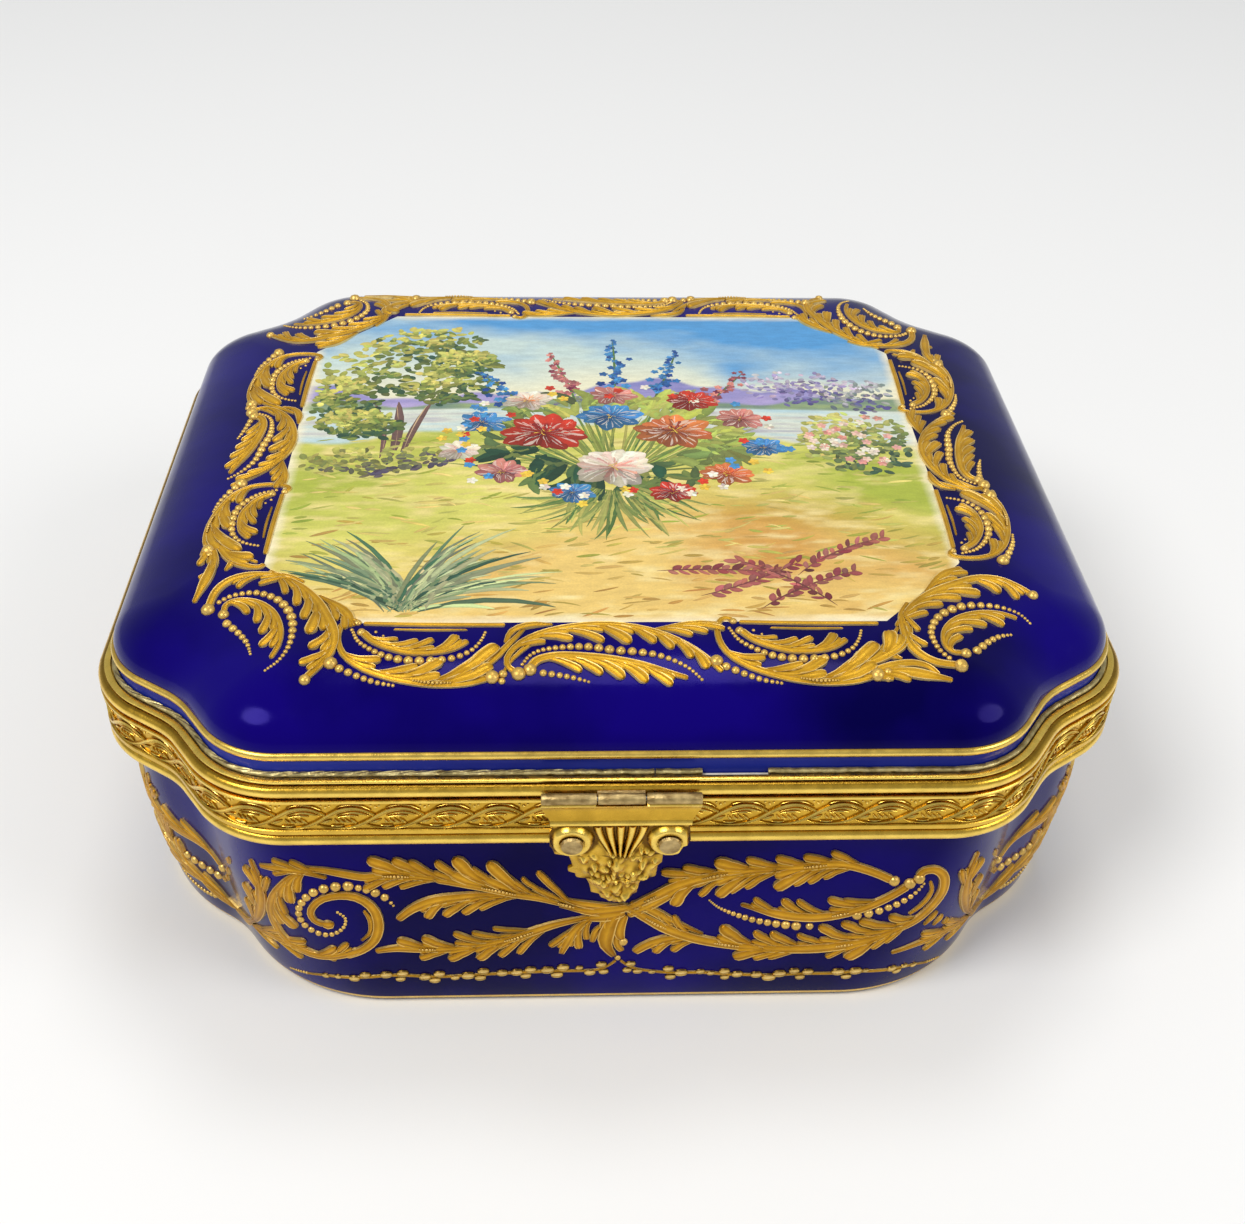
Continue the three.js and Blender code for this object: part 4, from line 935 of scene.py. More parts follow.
def arch(d):
    """An arch of leaves over a lower leaf, pearls following both, and the straps beside it."""
    bow = [(-22.8, -94.4), (-25, -92.9), (-25.2, -89.8), (-21.9, -85.2), (-16.4, -81.8), (-9.5, -79.8),
           (-2.8, -79.2), (3.9, -80.3), (10.2, -82.9), (15.2, -86.3), (19.2, -90), (23, -94.4)]
    d.leaf(bow, 0.6, 0.9, 0.6, [(-16.6, -85.4, 0.7), (-10.4, -84.4, 0.95), (-3.4, -85.4, 1.0),
                                (2.6, -85.9, 1.3), (8.2, -85.9, 1.0), (12, -87.8, 0.95),
                                (16.4, -90.6, 0.95), (19.6, -93.6, 1.1)],
           fullest=0.4)
    d.dots((-22.7, -94.6, 1.45))
    d.line([(-26.6, -95.4), (-24, -90.4), (-18.2, -84), (-13.8, -80.8)], 0.3, 0.5, 0.3)
    d.line([(-25.8, -85.6), (-24.4, -81.6), (-20.5, -79.4), (-15, -79)], 0.5, 0.95, 0.35)
    d.leaf([(7.6, -81.4), (13, -80), (18.5, -79), (23.6, -78.9)], 0.4, 0.9, 0.5,
           [(17, -83.4, 0.8), (20.6, -82.4, 0.85), (24.6, -81.2, 0.8)])
    d.beads([(-21.9, -92), (-20.2, -89.4), (-17.3, -87.7), (-12, -86.9), (-6.7, -86.9), (-1, -88),
             (3, -88.4), (8, -89.3), (12, -91), (15.6, -93.4), (18.6, -96.7)], 0.4, 1.02, 0.35)
    d.leaf([(-20.2, -93.3), (-18.4, -90.9), (-14, -89.7), (-8, -90), (-2, -90.9), (3.9, -92.4),
            (8.8, -94), (15.2, -96)],
           0.9, 1.0, 0.5, [(-8.6, -94.2, 0.8), (-4, -95, 0.95), (0.8, -96.1, 1.15), (6, -97, 1.2),
                           (11.6, -97.8, 0.9)],
           fullest=0.7)
    d.dots((-20.2, -93.5, 1.35))
    d.beads([(-17.2, -94.4), (-13.5, -95), (-10, -95.8), (-6.4, -96.9)], 0.75, 0.6, 0.3)


def end_leaf(d):
    """The leaf that closes a side at its far corner."""
    d.leaf([(44.7, -97), (50.5, -95.2), (56.1, -92.4), (60.4, -90.2), (64.4, -87.2), (66.8, -83.4),
            (67.2, -80), (65.6, -78.6)], 0.4, 1.1, 0.6,
           [(55.4, -89.1, 1.1), (58.8, -86.2, 1.2), (62.2, -82, 1.6)])
    d.leaf([(46, -97.2), (51.3, -95.8), (57.1, -94.4), (61.7, -93), (66.1, -92.4), (69.5, -93.3),
            (71.8, -95.8)],
           0.4, 0.9, 0.6, [(61.6, -96.4, 0.8), (65.4, -96.9, 0.85)])


def corner_bands(d):
    """Two broad bands cross at the corner of the panel, with pearls and leaves inside them."""
    right = [(-83, -57.4), (-78.9, -60.2), (-74.5, -63.8), (-70.4, -69.2), (-67.2, -75.8),
             (-64.8, -82.2), (-64.9, -87.8), (-67.1, -92.1), (-70, -95.6)]
    left = [(-74, -62), (-78.5, -59.4), (-83.7, -58.9), (-88.2, -59.3), (-91.9, -61.3), (-94.3, -65.1),
            (-95.2, -70.6)]
    inner = [(-91.3, -72.8), (-91.1, -69.9), (-88.5, -68.5), (-83.9, -69.6), (-79.8, -73.6),
             (-77.4, -79.6), (-77, -85.2), (-78.2, -89.6)]
    d.leaf(left, 0.5, 1.0, 0.8, [(-84.6, -62.9, 0.7), (-89.4, -64, 0.75)])
    d.leaf(right, 0.6, 1.2, 0.7, [(-77.8, -66.6, 0.8), (-74.6, -71.2, 0.95), (-72.4, -76.4, 1.1),
                                  (-70.6, -81.9, 1.35), (-70, -87, 1.1), (-71.8, -91.4, 0.9)], fullest=0.55)
    d.dots((-95.2, -71.2, 1.45), (-70, -95.8, 1.15))
    d.leaf([(-70.2, -67.4), (-66.4, -70.6), (-62.9, -74.4), (-60.4, -79.2)], 0.5, 1.25, 0.6,
           [(-64.9, -77.2, 0.9), (-62.6, -80.4, 0.85)])
    d.line([(-97, -46), (-96.8, -56), (-97.6, -61.9), (-98.9, -68.5)], 0.4, 1.2, 0.5)
    d.line([(-92, -47.5), (-91.6, -52), (-93.4, -57)], 0.35, 0.9, 0.4)
    d.beads([(-93, -68.7), (-90.8, -66.9), (-87.5, -65.9), (-84, -66), (-80, -68.2), (-77.2, -71.4),
             (-75.1, -76), (-74.4, -81), (-74.7, -86), (-76.4, -90.4), (-79.4, -93.4)], 0.55, 1.05, 0.3)
    d.leaf(inner, 0.6, 0.8, 0.5, [(-85.6, -73.6, 0.85), (-83.2, -77, 0.9), (-81.6, -81, 1.0),
                                  (-81.2, -85.4, 0.95)])
    d.dots((-91.3, -73.2, 1.15))
    d.beads([(-90, -76.4), (-86.8, -80), (-84.4, -83.6), (-83, -87.6)], 0.95, 0.7, 0.3)


border = Design(1.2, PASTE_GOLD)
for turns in range(4):
    for shift in (0, CARTOUCHE_STEP):
        border.carry = side_carry(turns, shift)
        cartouche(border)
    border.carry = side_carry(turns)
    arch(border)
    end_leaf(border)
    border.carry = corner_carry(turns)
    corner_bands(border)


PROBE = 0.3


def on_lid(flat, height):
    """Carries places of the plan to the lid, raised along the surface's own normal, whose
    slopes are measured PROBE millimetres to each side."""
    x, y = flat.T
    slope_x = (lid_height(x + PROBE, y) - lid_height(x - PROBE, y)) / (2 * PROBE)
    slope_y = (lid_height(x, y + PROBE) - lid_height(x, y - PROBE)) / (2 * PROBE)
    normal = np.stack([-slope_x, -slope_y, np.ones_like(x)], -1)
    normal /= np.linalg.norm(normal, axis=1, keepdims=True)
    return np.stack([x, y, lid_height(x, y)], -1) + normal * height[:, None]


make_piece("lid_raised_gold", border.parts(on_lid), "lid")

# %% [markdown]
# ## Gold scrollwork of the body
#
# On the wall a place is a length along the outline and a height. Lengths are counted from the
# middle of a side or of a corner, the anchors, and written as 1000 times the anchor's number
# plus the length, so that a design can be carried to any anchor. The front is drawn in full from
# the photograph. A corner and the end of a side are drawn once and mirrored round the box.

# %% Places on the wall
ANCHOR, SHARE_STEPS = 1000, 400
SHARES = np.linspace(0, 1, SHARE_STEPS + 1)
CORNER_POINT = SIDE_STEPS + ARC_STEPS + 1 + 2 + HOLLOW_STEPS - 1


def wall_row(offset, soften):
    """A quarter of the outline at SHARES of its length, its length, and the corner's place."""
    q = quarter_plan(offset, soften)
    run = run_along(q)
    return places_at(SHARES * run[-1], run, q), run[-1], run[CORNER_POINT]


WALL_PLACES, WALL_LENGTHS, WALL_CORNERS = map(np.array, zip(*(wall_row(o, s) for o, _, s in wall)))
WALL_HEIGHTS = wall[:, 1]


def wall_place(places, z):
    """The point of the wall at anchored lengths and heights. From the front's middle, each
    quarter of the way round is the same quarter, mirrored in turn."""
    anchor = np.round(places / ANCHOR).astype(int)
    length, corner = np.interp(z, WALL_HEIGHTS, WALL_LENGTHS), np.interp(z, WALL_HEIGHTS, WALL_CORNERS)
    middle = (anchor // 2 + anchor % 2 * (anchor // 2 % 2)) * length
    middle = middle + np.where(anchor % 2, np.where(anchor // 2 % 2, -corner, corner), 0)
    way = (places - ANCHOR * anchor + middle) / length
    quarter = np.floor(way).astype(int)
    share = np.where(quarter % 2, 1 - (way - quarter), way - quarter)
    row = np.clip(np.searchsorted(WALL_HEIGHTS, z) - 1, 0, len(WALL_HEIGHTS) - 2)
    part = np.clip((z - WALL_HEIGHTS[row]) / (WALL_HEIGHTS[row + 1] - WALL_HEIGHTS[row]), 0, 1)
    column = np.minimum((share * SHARE_STEPS).astype(int), SHARE_STEPS - 1)
    over = (share * SHARE_STEPS - column)[:, None]
    rows = [WALL_PLACES[k, column] * (1 - over) + WALL_PLACES[k, column + 1] * over
            for k in (row, row + 1)]
    x, y = (rows[0] * (1 - part[:, None]) + rows[1] * part[:, None]).T
    x = np.where(np.isin(quarter % 4, (2, 3)), -x, x)
    y = np.where(np.isin(quarter % 4, (1, 2)), -y, y)
    return np.stack([x, y, z], -1)


def on_wall(flat, height):
    """Carries (anchored length, height) places to the wall, raised along its normal."""
    s, z = flat.T
    across = wall_place(s + PROBE, z) - wall_place(s - PROBE, z)
    up = wall_place(s, z + PROBE) - wall_place(s, z - PROBE)
    normal = np.cross(across, up)
    normal /= np.linalg.norm(normal, axis=1, keepdims=True)
    return wall_place(s, z) + normal * height[:, None]


def anchored(anchor, mirror=1, stretch=1.0):
    """A carrying function to an anchor: 0 front, 1 corner, 2 right side and so on round."""
    return lambda p: np.stack([ANCHOR * anchor + mirror * stretch * p[:, 0], p[:, 1]], -1)


# %% Front scrollwork
def front_upper_left(d):
    """The long stem from the centre to the left, with its leaves above and under it."""
    stem = [(-0.5, 34), (-6.5, 33.7), (-12, 35.5), (-18.5, 37.8), (-24.5, 39.2), (-30.5, 41),
            (-37, 42.6), (-43, 44), (-49, 45), (-55, 45.3), (-59.5, 44.9), (-64.5, 46), (-69, 47),
            (-73.5, 47.6)]
    d.lobes(stem, [(-19, 46, 0.85), (-22.6, 44.2, 0.6), (-26, 45, 0.7), (-30.4, 49, 1.5),
                   (-34.4, 47.4, 0.9), (-38.4, 50.4, 1.6), (-42.6, 49.4, 1.0), (-49, 49.5, 1.15),
                   (-52.6, 50.2, 1.2), (-58.4, 50.4, 1.4), (-51.5, 41.6, 0.8), (-55.5, 41.6, 0.85),
                   (-59.8, 41.2, 0.95)])
    d.line(stem[:8], 0.45, 1.0, 0.9)
    d.line(stem[7:], 0.9, 1.0, 0.7)
    d.leaf([(-20, 38), (-24.5, 38.6), (-30.5, 39), (-37, 38.5), (-43.5, 37.4), (-48.5, 35),
            (-52.5, 31.2)],
           0.5, 1.35, 0.9, [(-33, 34.4, 0.8), (-37, 33, 1.05), (-41.4, 32.2, 1.1), (-45.6, 31.6, 1.15)],
           fullest=0.7)
    d.line([(-16, 38.4), (-9, 36), (-3, 34.8), (2, 34.6)], 0.4, 1.1, 0.9)
    d.line([(-14, 35.2), (-7, 33.4), (-1, 32.6)], 0.4, 1.0, 0.8)
    d.rib_beads([(-32, 41.4), (-28, 40.4), (-24, 39.2)], [(-14, 36.4), (-10, 34.9)],
                [(-55, 45.3), (-52, 45.2), (-49, 45)])


def centre_drop(d):
    """The fat curled drop from which both halves spring."""
    d.line([(-9.5, 33.8), (-5, 33.4), (0, 34), (3.4, 34.8)], 0.9, 1.5, 1.1, 0.5)
    d.line([(-7, 31), (-3, 31.8), (2, 32.8)], 1.0, 1.6, 1.1, 0.5)
    d.line([(0, 33), (-2, 27.8), (-2.7, 22.4), (-0.4, 17.4)], 1.2, 1.9, 0.8, 0.5)
    d.line([(2, 32), (0.6, 27), (1.2, 23.4)], 0.8, 1.3, 0.9)
    d.line([(-2.6, 33.4), (-3, 29), (-2.2, 25)], 0.6, 1.2, 0.6)
    d.line([(-0.5, 27), (0.3, 21.6), (1.6, 19.4)], 0.4, 0.9, 0.7)
    d.line([(-2, 30), (-5, 26.6), (-6, 22.6)], 0.4, 0.9, 0.6)
    d.dots((0.4, 16.8, 0.7), (1.6, 22.6, 1.05))


def spiral_left(d):
    """The big scroll on the left with the pearls inside it."""
    outer = [(-71, 47.6), (-75.4, 45.6), (-79.4, 41), (-82.6, 35), (-84, 28.6), (-83, 22), (-79.4, 18.2),
             (-74, 17), (-68.5, 18.2), (-62, 21)]
    d.leaf(outer, 0.7, 1.25, 1.0, [(-75.4, 39.8, 1.1), (-77.4, 35.6, 1.3), (-79.4, 30.6, 1.0),
                                   (-77.2, 26.2, 1.45), (-67.8, 21.6, 1.1), (-64.8, 23.4, 0.8)], fullest=0.5)
    curl = [(-66, 18.6), (-61.4, 21.2), (-58.2, 24.8), (-57, 30), (-58, 35.2), (-61.4, 38.6),
            (-66, 39.3), (-70.4, 37.8), (-72.8, 34), (-72.2, 30.8), (-69.8, 29.6)]
    d.line(curl, 1.0, 1.2, 0.8, 0.3)
    d.line([(-61.6, 24), (-59.2, 27), (-58.8, 31), (-60.2, 34.4)], 0.3, 0.7, 0.4)
    d.line([(-70.6, 30.2), (-69, 29.7), (-67.6, 30.3)], 0.9, 1.25, 0.7)
    d.beads([(-63.4, 42), (-67.5, 41.7), (-71.4, 40.3), (-74.2, 37.4), (-76, 33), (-75.2, 28.6),
             (-72, 26), (-68.6, 26), (-65.6, 28.4), (-64.8, 31.6), (-66.6, 33.8)], 1.2, 0.85, 0.35)
    d.beads([(-61, 41.4), (-57.7, 40.2), (-54.8, 38.2), (-53, 35.4)], 0.8, 1.1, 0.3)
    d.leaf([(-68, 44.6), (-74, 46.8), (-79, 47), (-84.6, 46)], 0.5, 1.1, 0.6,
           [(-76.5, 49.8, 0.8), (-80.8, 49.4, 0.8), (-81, 44.6, 0.7)])


def front_lower_left(d):
    """The lower branch and its leaves."""
    branch = [(-1, 33), (-8, 31), (-15, 29), (-21.5, 26.2), (-28, 23.5), (-34.5, 21.6), (-41, 21),
              (-48, 21.3), (-53, 21.5), (-58.5, 20.5)]
    d.lobes(branch, [(-30, 28, 0.6), (-35, 26.6, 0.75), (-39.4, 26.6, 0.9), (-47, 25.2, 1.2),
                     (-53, 24.6, 1.25), (-24, 18.8, 0.85), (-28.6, 18, 0.95), (-34, 17.2, 1.25),
                     (-41, 17.2, 1.1), (-48, 17.8, 1.0)])
    d.line(branch[:6], 0.5, 1.15, 0.9)
    d.line(branch[5:], 0.9, 1.15, 0.7)
    d.leaf([(-4, 32.2), (-7.6, 30), (-10.4, 26.5), (-12.4, 22), (-13.5, 18.5)], 0.5, 1.2, 0.7,
           [(-7.2, 23.6, 0.8), (-9, 20.4, 1.0), (-16.4, 21.4, 0.8)])
    d.rib_beads([(-27, 23.9), (-24, 25), (-20, 26.9)], [(-44, 21.1), (-48, 21.3)])


def front_right(d):
    """The right half, whose leaves run towards the centre: an upper branch, a short middle one
    and a long lower one that starts in a curl."""
    upper = [(65.5, 42), (61, 44.5), (55, 46.8), (50, 47.3), (43.5, 46.5), (37, 46), (30.5, 45.5),
             (24, 44.5), (18.5, 43), (13.5, 41), (9.5, 38.5), (5.5, 36)]
    d.lobes(upper, [(50, 51, 0.9), (43.5, 49.8, 1.05), (37, 49.6, 1.05), (30, 49.2, 1.0),
                    (22.5, 48.4, 1.6), (15, 46.6, 1.1), (10, 45.4, 1.1), (48.5, 43, 0.8),
                    (45, 41.6, 0.9), (41.5, 41, 0.95), (37.2, 39.8, 1.5), (30, 40.2, 0.9),
                    (26.5, 38.8, 0.9), (23.6, 37.6, 1.4), (19.4, 37.8, 0.85), (13.2, 34.8, 1.5)])
    d.line(upper[:6], 1.0, 1.2, 1.0)
    d.line([*upper[5:], (1.5, 33.4)], 1.0, 1.4, 1.0)
    d.line([(20, 41.6), (13, 38.6), (7, 34.6), (2.4, 31.8)], 0.4, 1.2, 0.9)
    middle = [(69.5, 40.5), (64.5, 36.5), (59.5, 33.5), (54, 31.5), (48.5, 30.6), (43, 31), (38, 32.1),
              (34, 33.4), (29.5, 35)]
    d.leaf(middle, 1.0, 1.4, 0.5, [(54, 36, 0.8), (50.4, 36.6, 1.1), (43, 36.2, 0.85),
                                   (39.4, 36.5, 1.05), (32.6, 37, 0.8)], fullest=0.72)
    curl = [(71.4, 42.8), (72.6, 44.8), (75.4, 45), (77.9, 42.2), (78.3, 37), (76, 32), (72.5, 28),
            (67, 25)]
    d.line(curl, 1.0, 1.3, 1.0, 0.55)
    d.line([(74.6, 41.4), (75.4, 38), (73.8, 34), (70.6, 30.6)], 0.4, 0.6, 0.4)
    lower = [(74, 29.6), (67, 25), (60.5, 22), (52.5, 20.2), (44, 19.6), (35.5, 20), (27.5, 21.4),
             (19.5, 23.6), (12.5, 27), (7, 31), (3, 34)]
    d.lobes(lower, [(65.8, 30.6, 1.15), (58.6, 29, 1.15), (54.4, 28.4, 1.15), (49, 27.4, 1.2),
                    (44, 24.6, 0.8), (37.5, 25.5, 1.05), (33.4, 25.8, 1.05), (25.4, 28, 1.5),
                    (13.5, 31.6, 0.9), (10.2, 33, 0.9), (65.5, 21, 0.85), (62.4, 19.2, 0.95),
                    (56.6, 15.6, 1.6), (51.6, 16.2, 0.8), (37, 16.5, 1.0), (33.5, 16.3, 1.05),
                    (28.6, 16.8, 1.45)])
    d.line(lower[:6], 0.8, 1.5, 1.2)
    d.line([*lower[5:], (0, 35.4)], 1.2, 1.4, 0.9)
    d.line([(21, 25), (13.5, 29.6), (8, 33.6), (3, 36)], 0.4, 1.2, 0.9)
    d.leaf([(22, 22.8), (19, 23.6), (14.5, 24), (10, 23), (6.5, 21), (4.2, 18.8)], 0.5, 1.2, 1.1,
           [(13.4, 19.2, 0.95), (9.2, 18.6, 1.05)])
    d.dots((65.8, 41.8, 1.3), (69.7, 41, 1.35), (71.8, 42.4, 1.3), (46.8, 27.2, 0.9))
    d.beads([(22, 36.2), (24, 34.1), (26.5, 32.5), (29.6, 31), (33, 29.6), (38, 28.3), (44.6, 27.2)], 0.25,
            0.8, 1.15)
    d.beads([(58, 30.8), (61, 31.4), (65, 33), (68.6, 35.2), (71.6, 38), (73.4, 41)], 1.15, 0.85, 0.35)
    d.rib_beads([(20, 43.5), (23, 44.3), (26, 44.9)], [(44, 46.6), (49, 47.2)], [(9, 38.2), (6, 36.3)],
                [(24, 22.2), (27, 21.5), (30, 21)], [(54, 20.5), (58, 21.3)],
                [(7, 31), (9.5, 29), (12, 27.4)],
                [(52, 31.1), (56, 32.1)])
    for a, b in (((75.5, 25), (78.5, 29.5)), ((78.5, 23.5), (80.6, 27)), ((81.8, 22), (83, 24.2)),
                 ((84.4, 21), (86, 21.4))):
        d.line([a, b], 0.4, 0.8, 0.5)


def garland(d, half, berries):
    """A thin stem and plump berries (x, height, half-thickness), each longer than thick,
    dying away in tiny beads."""
    d.line(half[:len(half) // 2 + 1], 0.3, 0.42, 0.35, lift=0.4)
    d.line(half[len(half) // 2:], 0.35, 0.4, 0.25, lift=0.4)
    for x, z, thick in berries:
        d.berry(x, z, 1.25 * thick)
    d.beads([half[-1], (2 * half[-1][0] - half[-2][0], half[-1][1] - 2)], 0.4, 0.35, 0.25)


body = Design(1.15, WALL_GOLD)
body.carry = anchored(0)
for draw in (front_upper_left, centre_drop, spiral_left, front_lower_left, front_right):
    draw(body)
garland(body, [(0, 16), (-2, 14), (-5.5, 12.4), (-14.5, 12.3), (-23, 12), (-35, 11.2), (-44, 10.7),
               (-54.6, 11.5), (-64.4, 10.2), (-72, 8.8), (-77.7, 6.7)],
        [(-3.6, 14.6, 0.7), (-3, 12, 0.65), (-6.4, 11.8, 0.75), (-9, 13.4, 0.5), (-13, 13.7, 0.8),
         (-14.5, 11.1, 0.8), (-16.8, 12.8, 0.85), (-21, 13, 0.75), (-22.2, 10.8, 0.7),
         (-24.4, 12.1, 0.8), (-28, 11.9, 0.75), (-32.6, 12.6, 0.75), (-33.4, 10.3, 0.75),
         (-36.4, 11.1, 0.85), (-39.6, 10.4, 0.6), (-43.4, 11.8, 0.75), (-44.6, 9.6, 0.75),
         (-47, 10.8, 0.8), (-52.4, 12.2, 0.75), (-53, 10.2, 0.65), (-56.4, 11.8, 0.8),
         (-61.6, 11.6, 0.7), (-64.4, 10, 0.75), (-68.6, 9.6, 0.5), (-72, 8.8, 0.55)])
garland(body, [(1, 16), (3, 14), (6, 12.4), (13, 11.2), (22, 11), (28, 10.2), (35, 9.8), (40, 9.5),
               (45.6, 10), (55, 10), (60, 10.6), (69.6, 9.3), (76, 8), (81, 5.6)],
        [(3.6, 14.7, 0.65), (2.8, 12.4, 0.6), (5.4, 12, 0.65), (9, 11.6, 0.5), (13, 12.7, 0.7),
         (13.6, 9.7, 0.7), (16.2, 11.2, 0.85), (21, 11.4, 0.6), (23.6, 10.8, 0.55), (27, 11.4, 0.7),
         (27.2, 9.2, 0.6), (30.2, 10.3, 0.75), (35, 10, 0.75), (38.2, 9, 0.9), (40.8, 10.3, 0.85),
         (44.4, 11.2, 0.7), (46, 8.9, 0.65), (47.8, 10.8, 0.75), (55.4, 10.7, 0.85), (57.6, 8.9, 0.7),
         (59.8, 10.9, 0.85), (62.4, 10.6, 0.45), (69.4, 9.7, 0.7), (71, 8.1, 0.65), (73, 9.2, 0.5),
         (76, 8, 0.5)])


# %% Corners and sides
def half_corner(d):
    """One half of a corner, drawn left of the corner's middle: the upright leaf, the low leaf
    and the stem that runs through the hollow."""
    d.leaf([(-11.5, 15.6), (-16.6, 22), (-21, 31), (-22.6, 39.6), (-21.4, 46.8)], 0.6, 1.6, 0.7,
           [(-14.6, 28, 1.3), (-16.4, 35.5, 1.55), (-18.4, 43, 1.4), (-25.6, 42.6, 0.9)], fullest=0.5)
    d.leaf([(-8, 13.4), (-11.5, 14), (-18, 17), (-24, 18.2), (-31, 18), (-38.6, 16.6)], 0.5, 1.2, 0.6,
           [(-24.6, 22.6, 0.9), (-31.6, 21.8, 0.95), (-21, 12.4, 0.9), (-29, 13.6, 0.95)], fullest=0.55)
    d.line([(0, 10.2), (-5, 10.8), (-9.5, 13.4), (-13, 18)], 0.9, 1.2, 0.6, 0.4)


def side_half(d):
    """One half of a side, drawn left of the side's middle."""
    upper = [(-97, 28), (-94, 31.4), (-89, 33), (-82, 33.6), (-74, 35.2), (-66.5, 38.6), (-60.5, 43),
             (-57, 47)]
    d.leaf(upper, 0.9, 1.5, 0.9, [(-86, 38.4, 0.9), (-79.5, 39.6, 1.1), (-72.8, 41.8, 1.2),
                                  (-66.4, 45.6, 1.3), (-72, 31.4, 0.8), (-65.6, 34.4, 0.9)], fullest=0.5)
    d.dots((-56.6, 47.6, 1.4), (-97.2, 27.6, 1.1))
    for a, b in (((-107, 39.5), (-105, 36)), ((-102.6, 32), (-101, 28.6)), ((-99.4, 26.6), (-97.6, 23.8)),
                 ((-96.6, 23), (-94.6, 21.4))):
        d.line([a, b], 0.4, 0.8, 0.5)
    d.beads([(-92.6, 21.4), (-88.6, 21.8), (-84, 22.4), (-78, 24), (-72, 27), (-67, 31), (-63.6, 36),
             (-62, 40)],
            1.1, 0.95, 0.45)
    lower = [(-97, 10.2), (-92.6, 11.6), (-87.6, 14), (-82, 15.4), (-75, 16.6), (-67.6, 19.4),
             (-60.6, 24.6), (-56, 31.6), (-54.4, 39)]
    d.leaf(lower, 0.8, 1.5, 0.7, [(-86, 18.6, 0.9), (-79.5, 20.2, 1.1), (-72.6, 22.4, 1.2),
                                  (-66, 26.4, 1.2), (-61, 31.6, 1.1), (-58.6, 37, 0.9), (-74, 12.2, 0.9),
                                  (-67, 13, 1.0), (-60.4, 16.4, 1.15), (-56, 22, 1.0)], fullest=0.5)
    d.beads([(-86, 9), (-81, 8.2), (-76, 8.2), (-71, 9)], 0.6, 0.5, 0.35)


SIDE_BERRIES = [(-3.4, 13.6, 0.7), (-7, 12, 0.75), (-12.6, 13.4, 0.75), (-14.2, 11.2, 0.7),
                (-16.6, 12.6, 0.8), (-21.4, 12.8, 0.7), (-24, 11.4, 0.75), (-28.4, 12.2, 0.7),
                (-30, 10, 0.7), (-32.6, 11.4, 0.75), (-37, 10.8, 0.6), (-40.8, 11.6, 0.75),
                (-42.4, 9.6, 0.7), (-45, 10.8, 0.75), (-49.4, 11, 0.6), (-53, 10.4, 0.7)]


def around(sides, corners):
    """The design of some sides and corners."""
    d = Design(1.15, WALL_GOLD)
    for side in sides:
        for mirror in (1, -1):
            d.carry = anchored(side, mirror)
            side_half(d)
            d.carry = anchored(side, mirror, 0.86)
            front_upper_left(d)
            front_lower_left(d)
            garland(d, [(0, 15), (-5.5, 12), (-14.5, 12.3), (-30, 11), (-44, 10.3), (-58, 10.4)],
                    SIDE_BERRIES)
        d.carry = anchored(side)
        centre_drop(d)
    for corner in corners:
        for mirror in (1, -1):
            d.carry = anchored(corner, mirror)
            half_corner(d)
    return d


make_piece("front_raised_gold", body.parts(on_wall), "base")
make_piece("sides_raised_gold", around((2, 6), (1, 7)).parts(on_wall), "base")
make_piece("back_raised_gold", around((4,), (3, 5)).parts(on_wall), "base")

# %% [markdown]
# ## Frieze of the base mount
#
# The sunk land of the base mount carries an interlace. Every eleven millimetres a ribbon starts
# low, sags, climbs across in a long straight slope and arches over, and its two ends disappear
# under its neighbours' slopes, so the row reads as a twisted rope. Thinner arcs repeat each
# arch inside and outside it, and small laurel leaves and berries fill the eyes.

# %% Frieze
FRIEZE_MIDDLE, RIBBON_STEP = 67.85, 11.0
RIBBON = [(-12.9, -2.1), (-11.1, -2.9), (-8.4, -3.25), (-5.6, -3.0), (-3.8, -2.4), (-1.5, -1.15), (0, 0),
          (1.6, 1.1), (3.7, 2.3), (6.2, 2.8), (8.5, 2.3), (10.5, 1.1), (11.3, 0.5)]
ARCS = [([(2.6, 0.4), (4.2, 1.1), (5.9, 1.5), (7.8, 1.25), (10.0, 0.35)], 0.32),
        ([(3.0, 0.0), (4.6, 0.45), (6.2, 0.6), (7.6, 0.2)], 0.26),
        ([(2.6, 2.75), (4.2, 3.5), (6.2, 3.8), (8.4, 3.45), (10.6, 2.1)], 0.2)]
EYE_LEAVES = [((1.7, -0.7), (0.2, -1.3), (-1.2, -1.9), 0.42), ((2.2, -0.5), (2.5, -1.2), (3.3, -1.8), 0.36),
              ((3.3, -0.4), (3.6, -1.1), (4.6, -1.7), 0.36), ((4.4, -0.4), (4.9, -1.2), (5.9, -1.8), 0.38),
              ((5.6, -0.4), (6.2, -1.1), (7.2, -1.9), 0.38), ((1.2, -2.45), (2.7, -2.6), (4.2, -2.45), 0.26)]
FRIEZE_BERRIES = [(0.4, 2.9, 0.4), (1.3, 3.3, 0.3), (-0.6, 3.4, 0.3)]
LAND_PROBE = 0.4
land = closed_plan(FRIEZE_OUT)
land_run = run_along(land)
LAND_LENGTH = land_run[-1]
RIBBONS = round(LAND_LENGTH / RIBBON_STEP)


def land_place(s):
    """The point of the frieze land after a run s from the middle of the front."""
    return places_at(np.mod(s, LAND_LENGTH), land_run, land)


def on_land(flat, height):
    """Carries (run, height above the table) places to the land, raised outwards."""
    s, z = flat.T
    way = land_place(s + LAND_PROBE) - land_place(s - LAND_PROBE)
    way /= np.linalg.norm(way, axis=1, keepdims=True)
    out = np.stack([way[:, 1], -way[:, 0]], -1)
    return np.column_stack([land_place(s) + out * height[:, None], z])


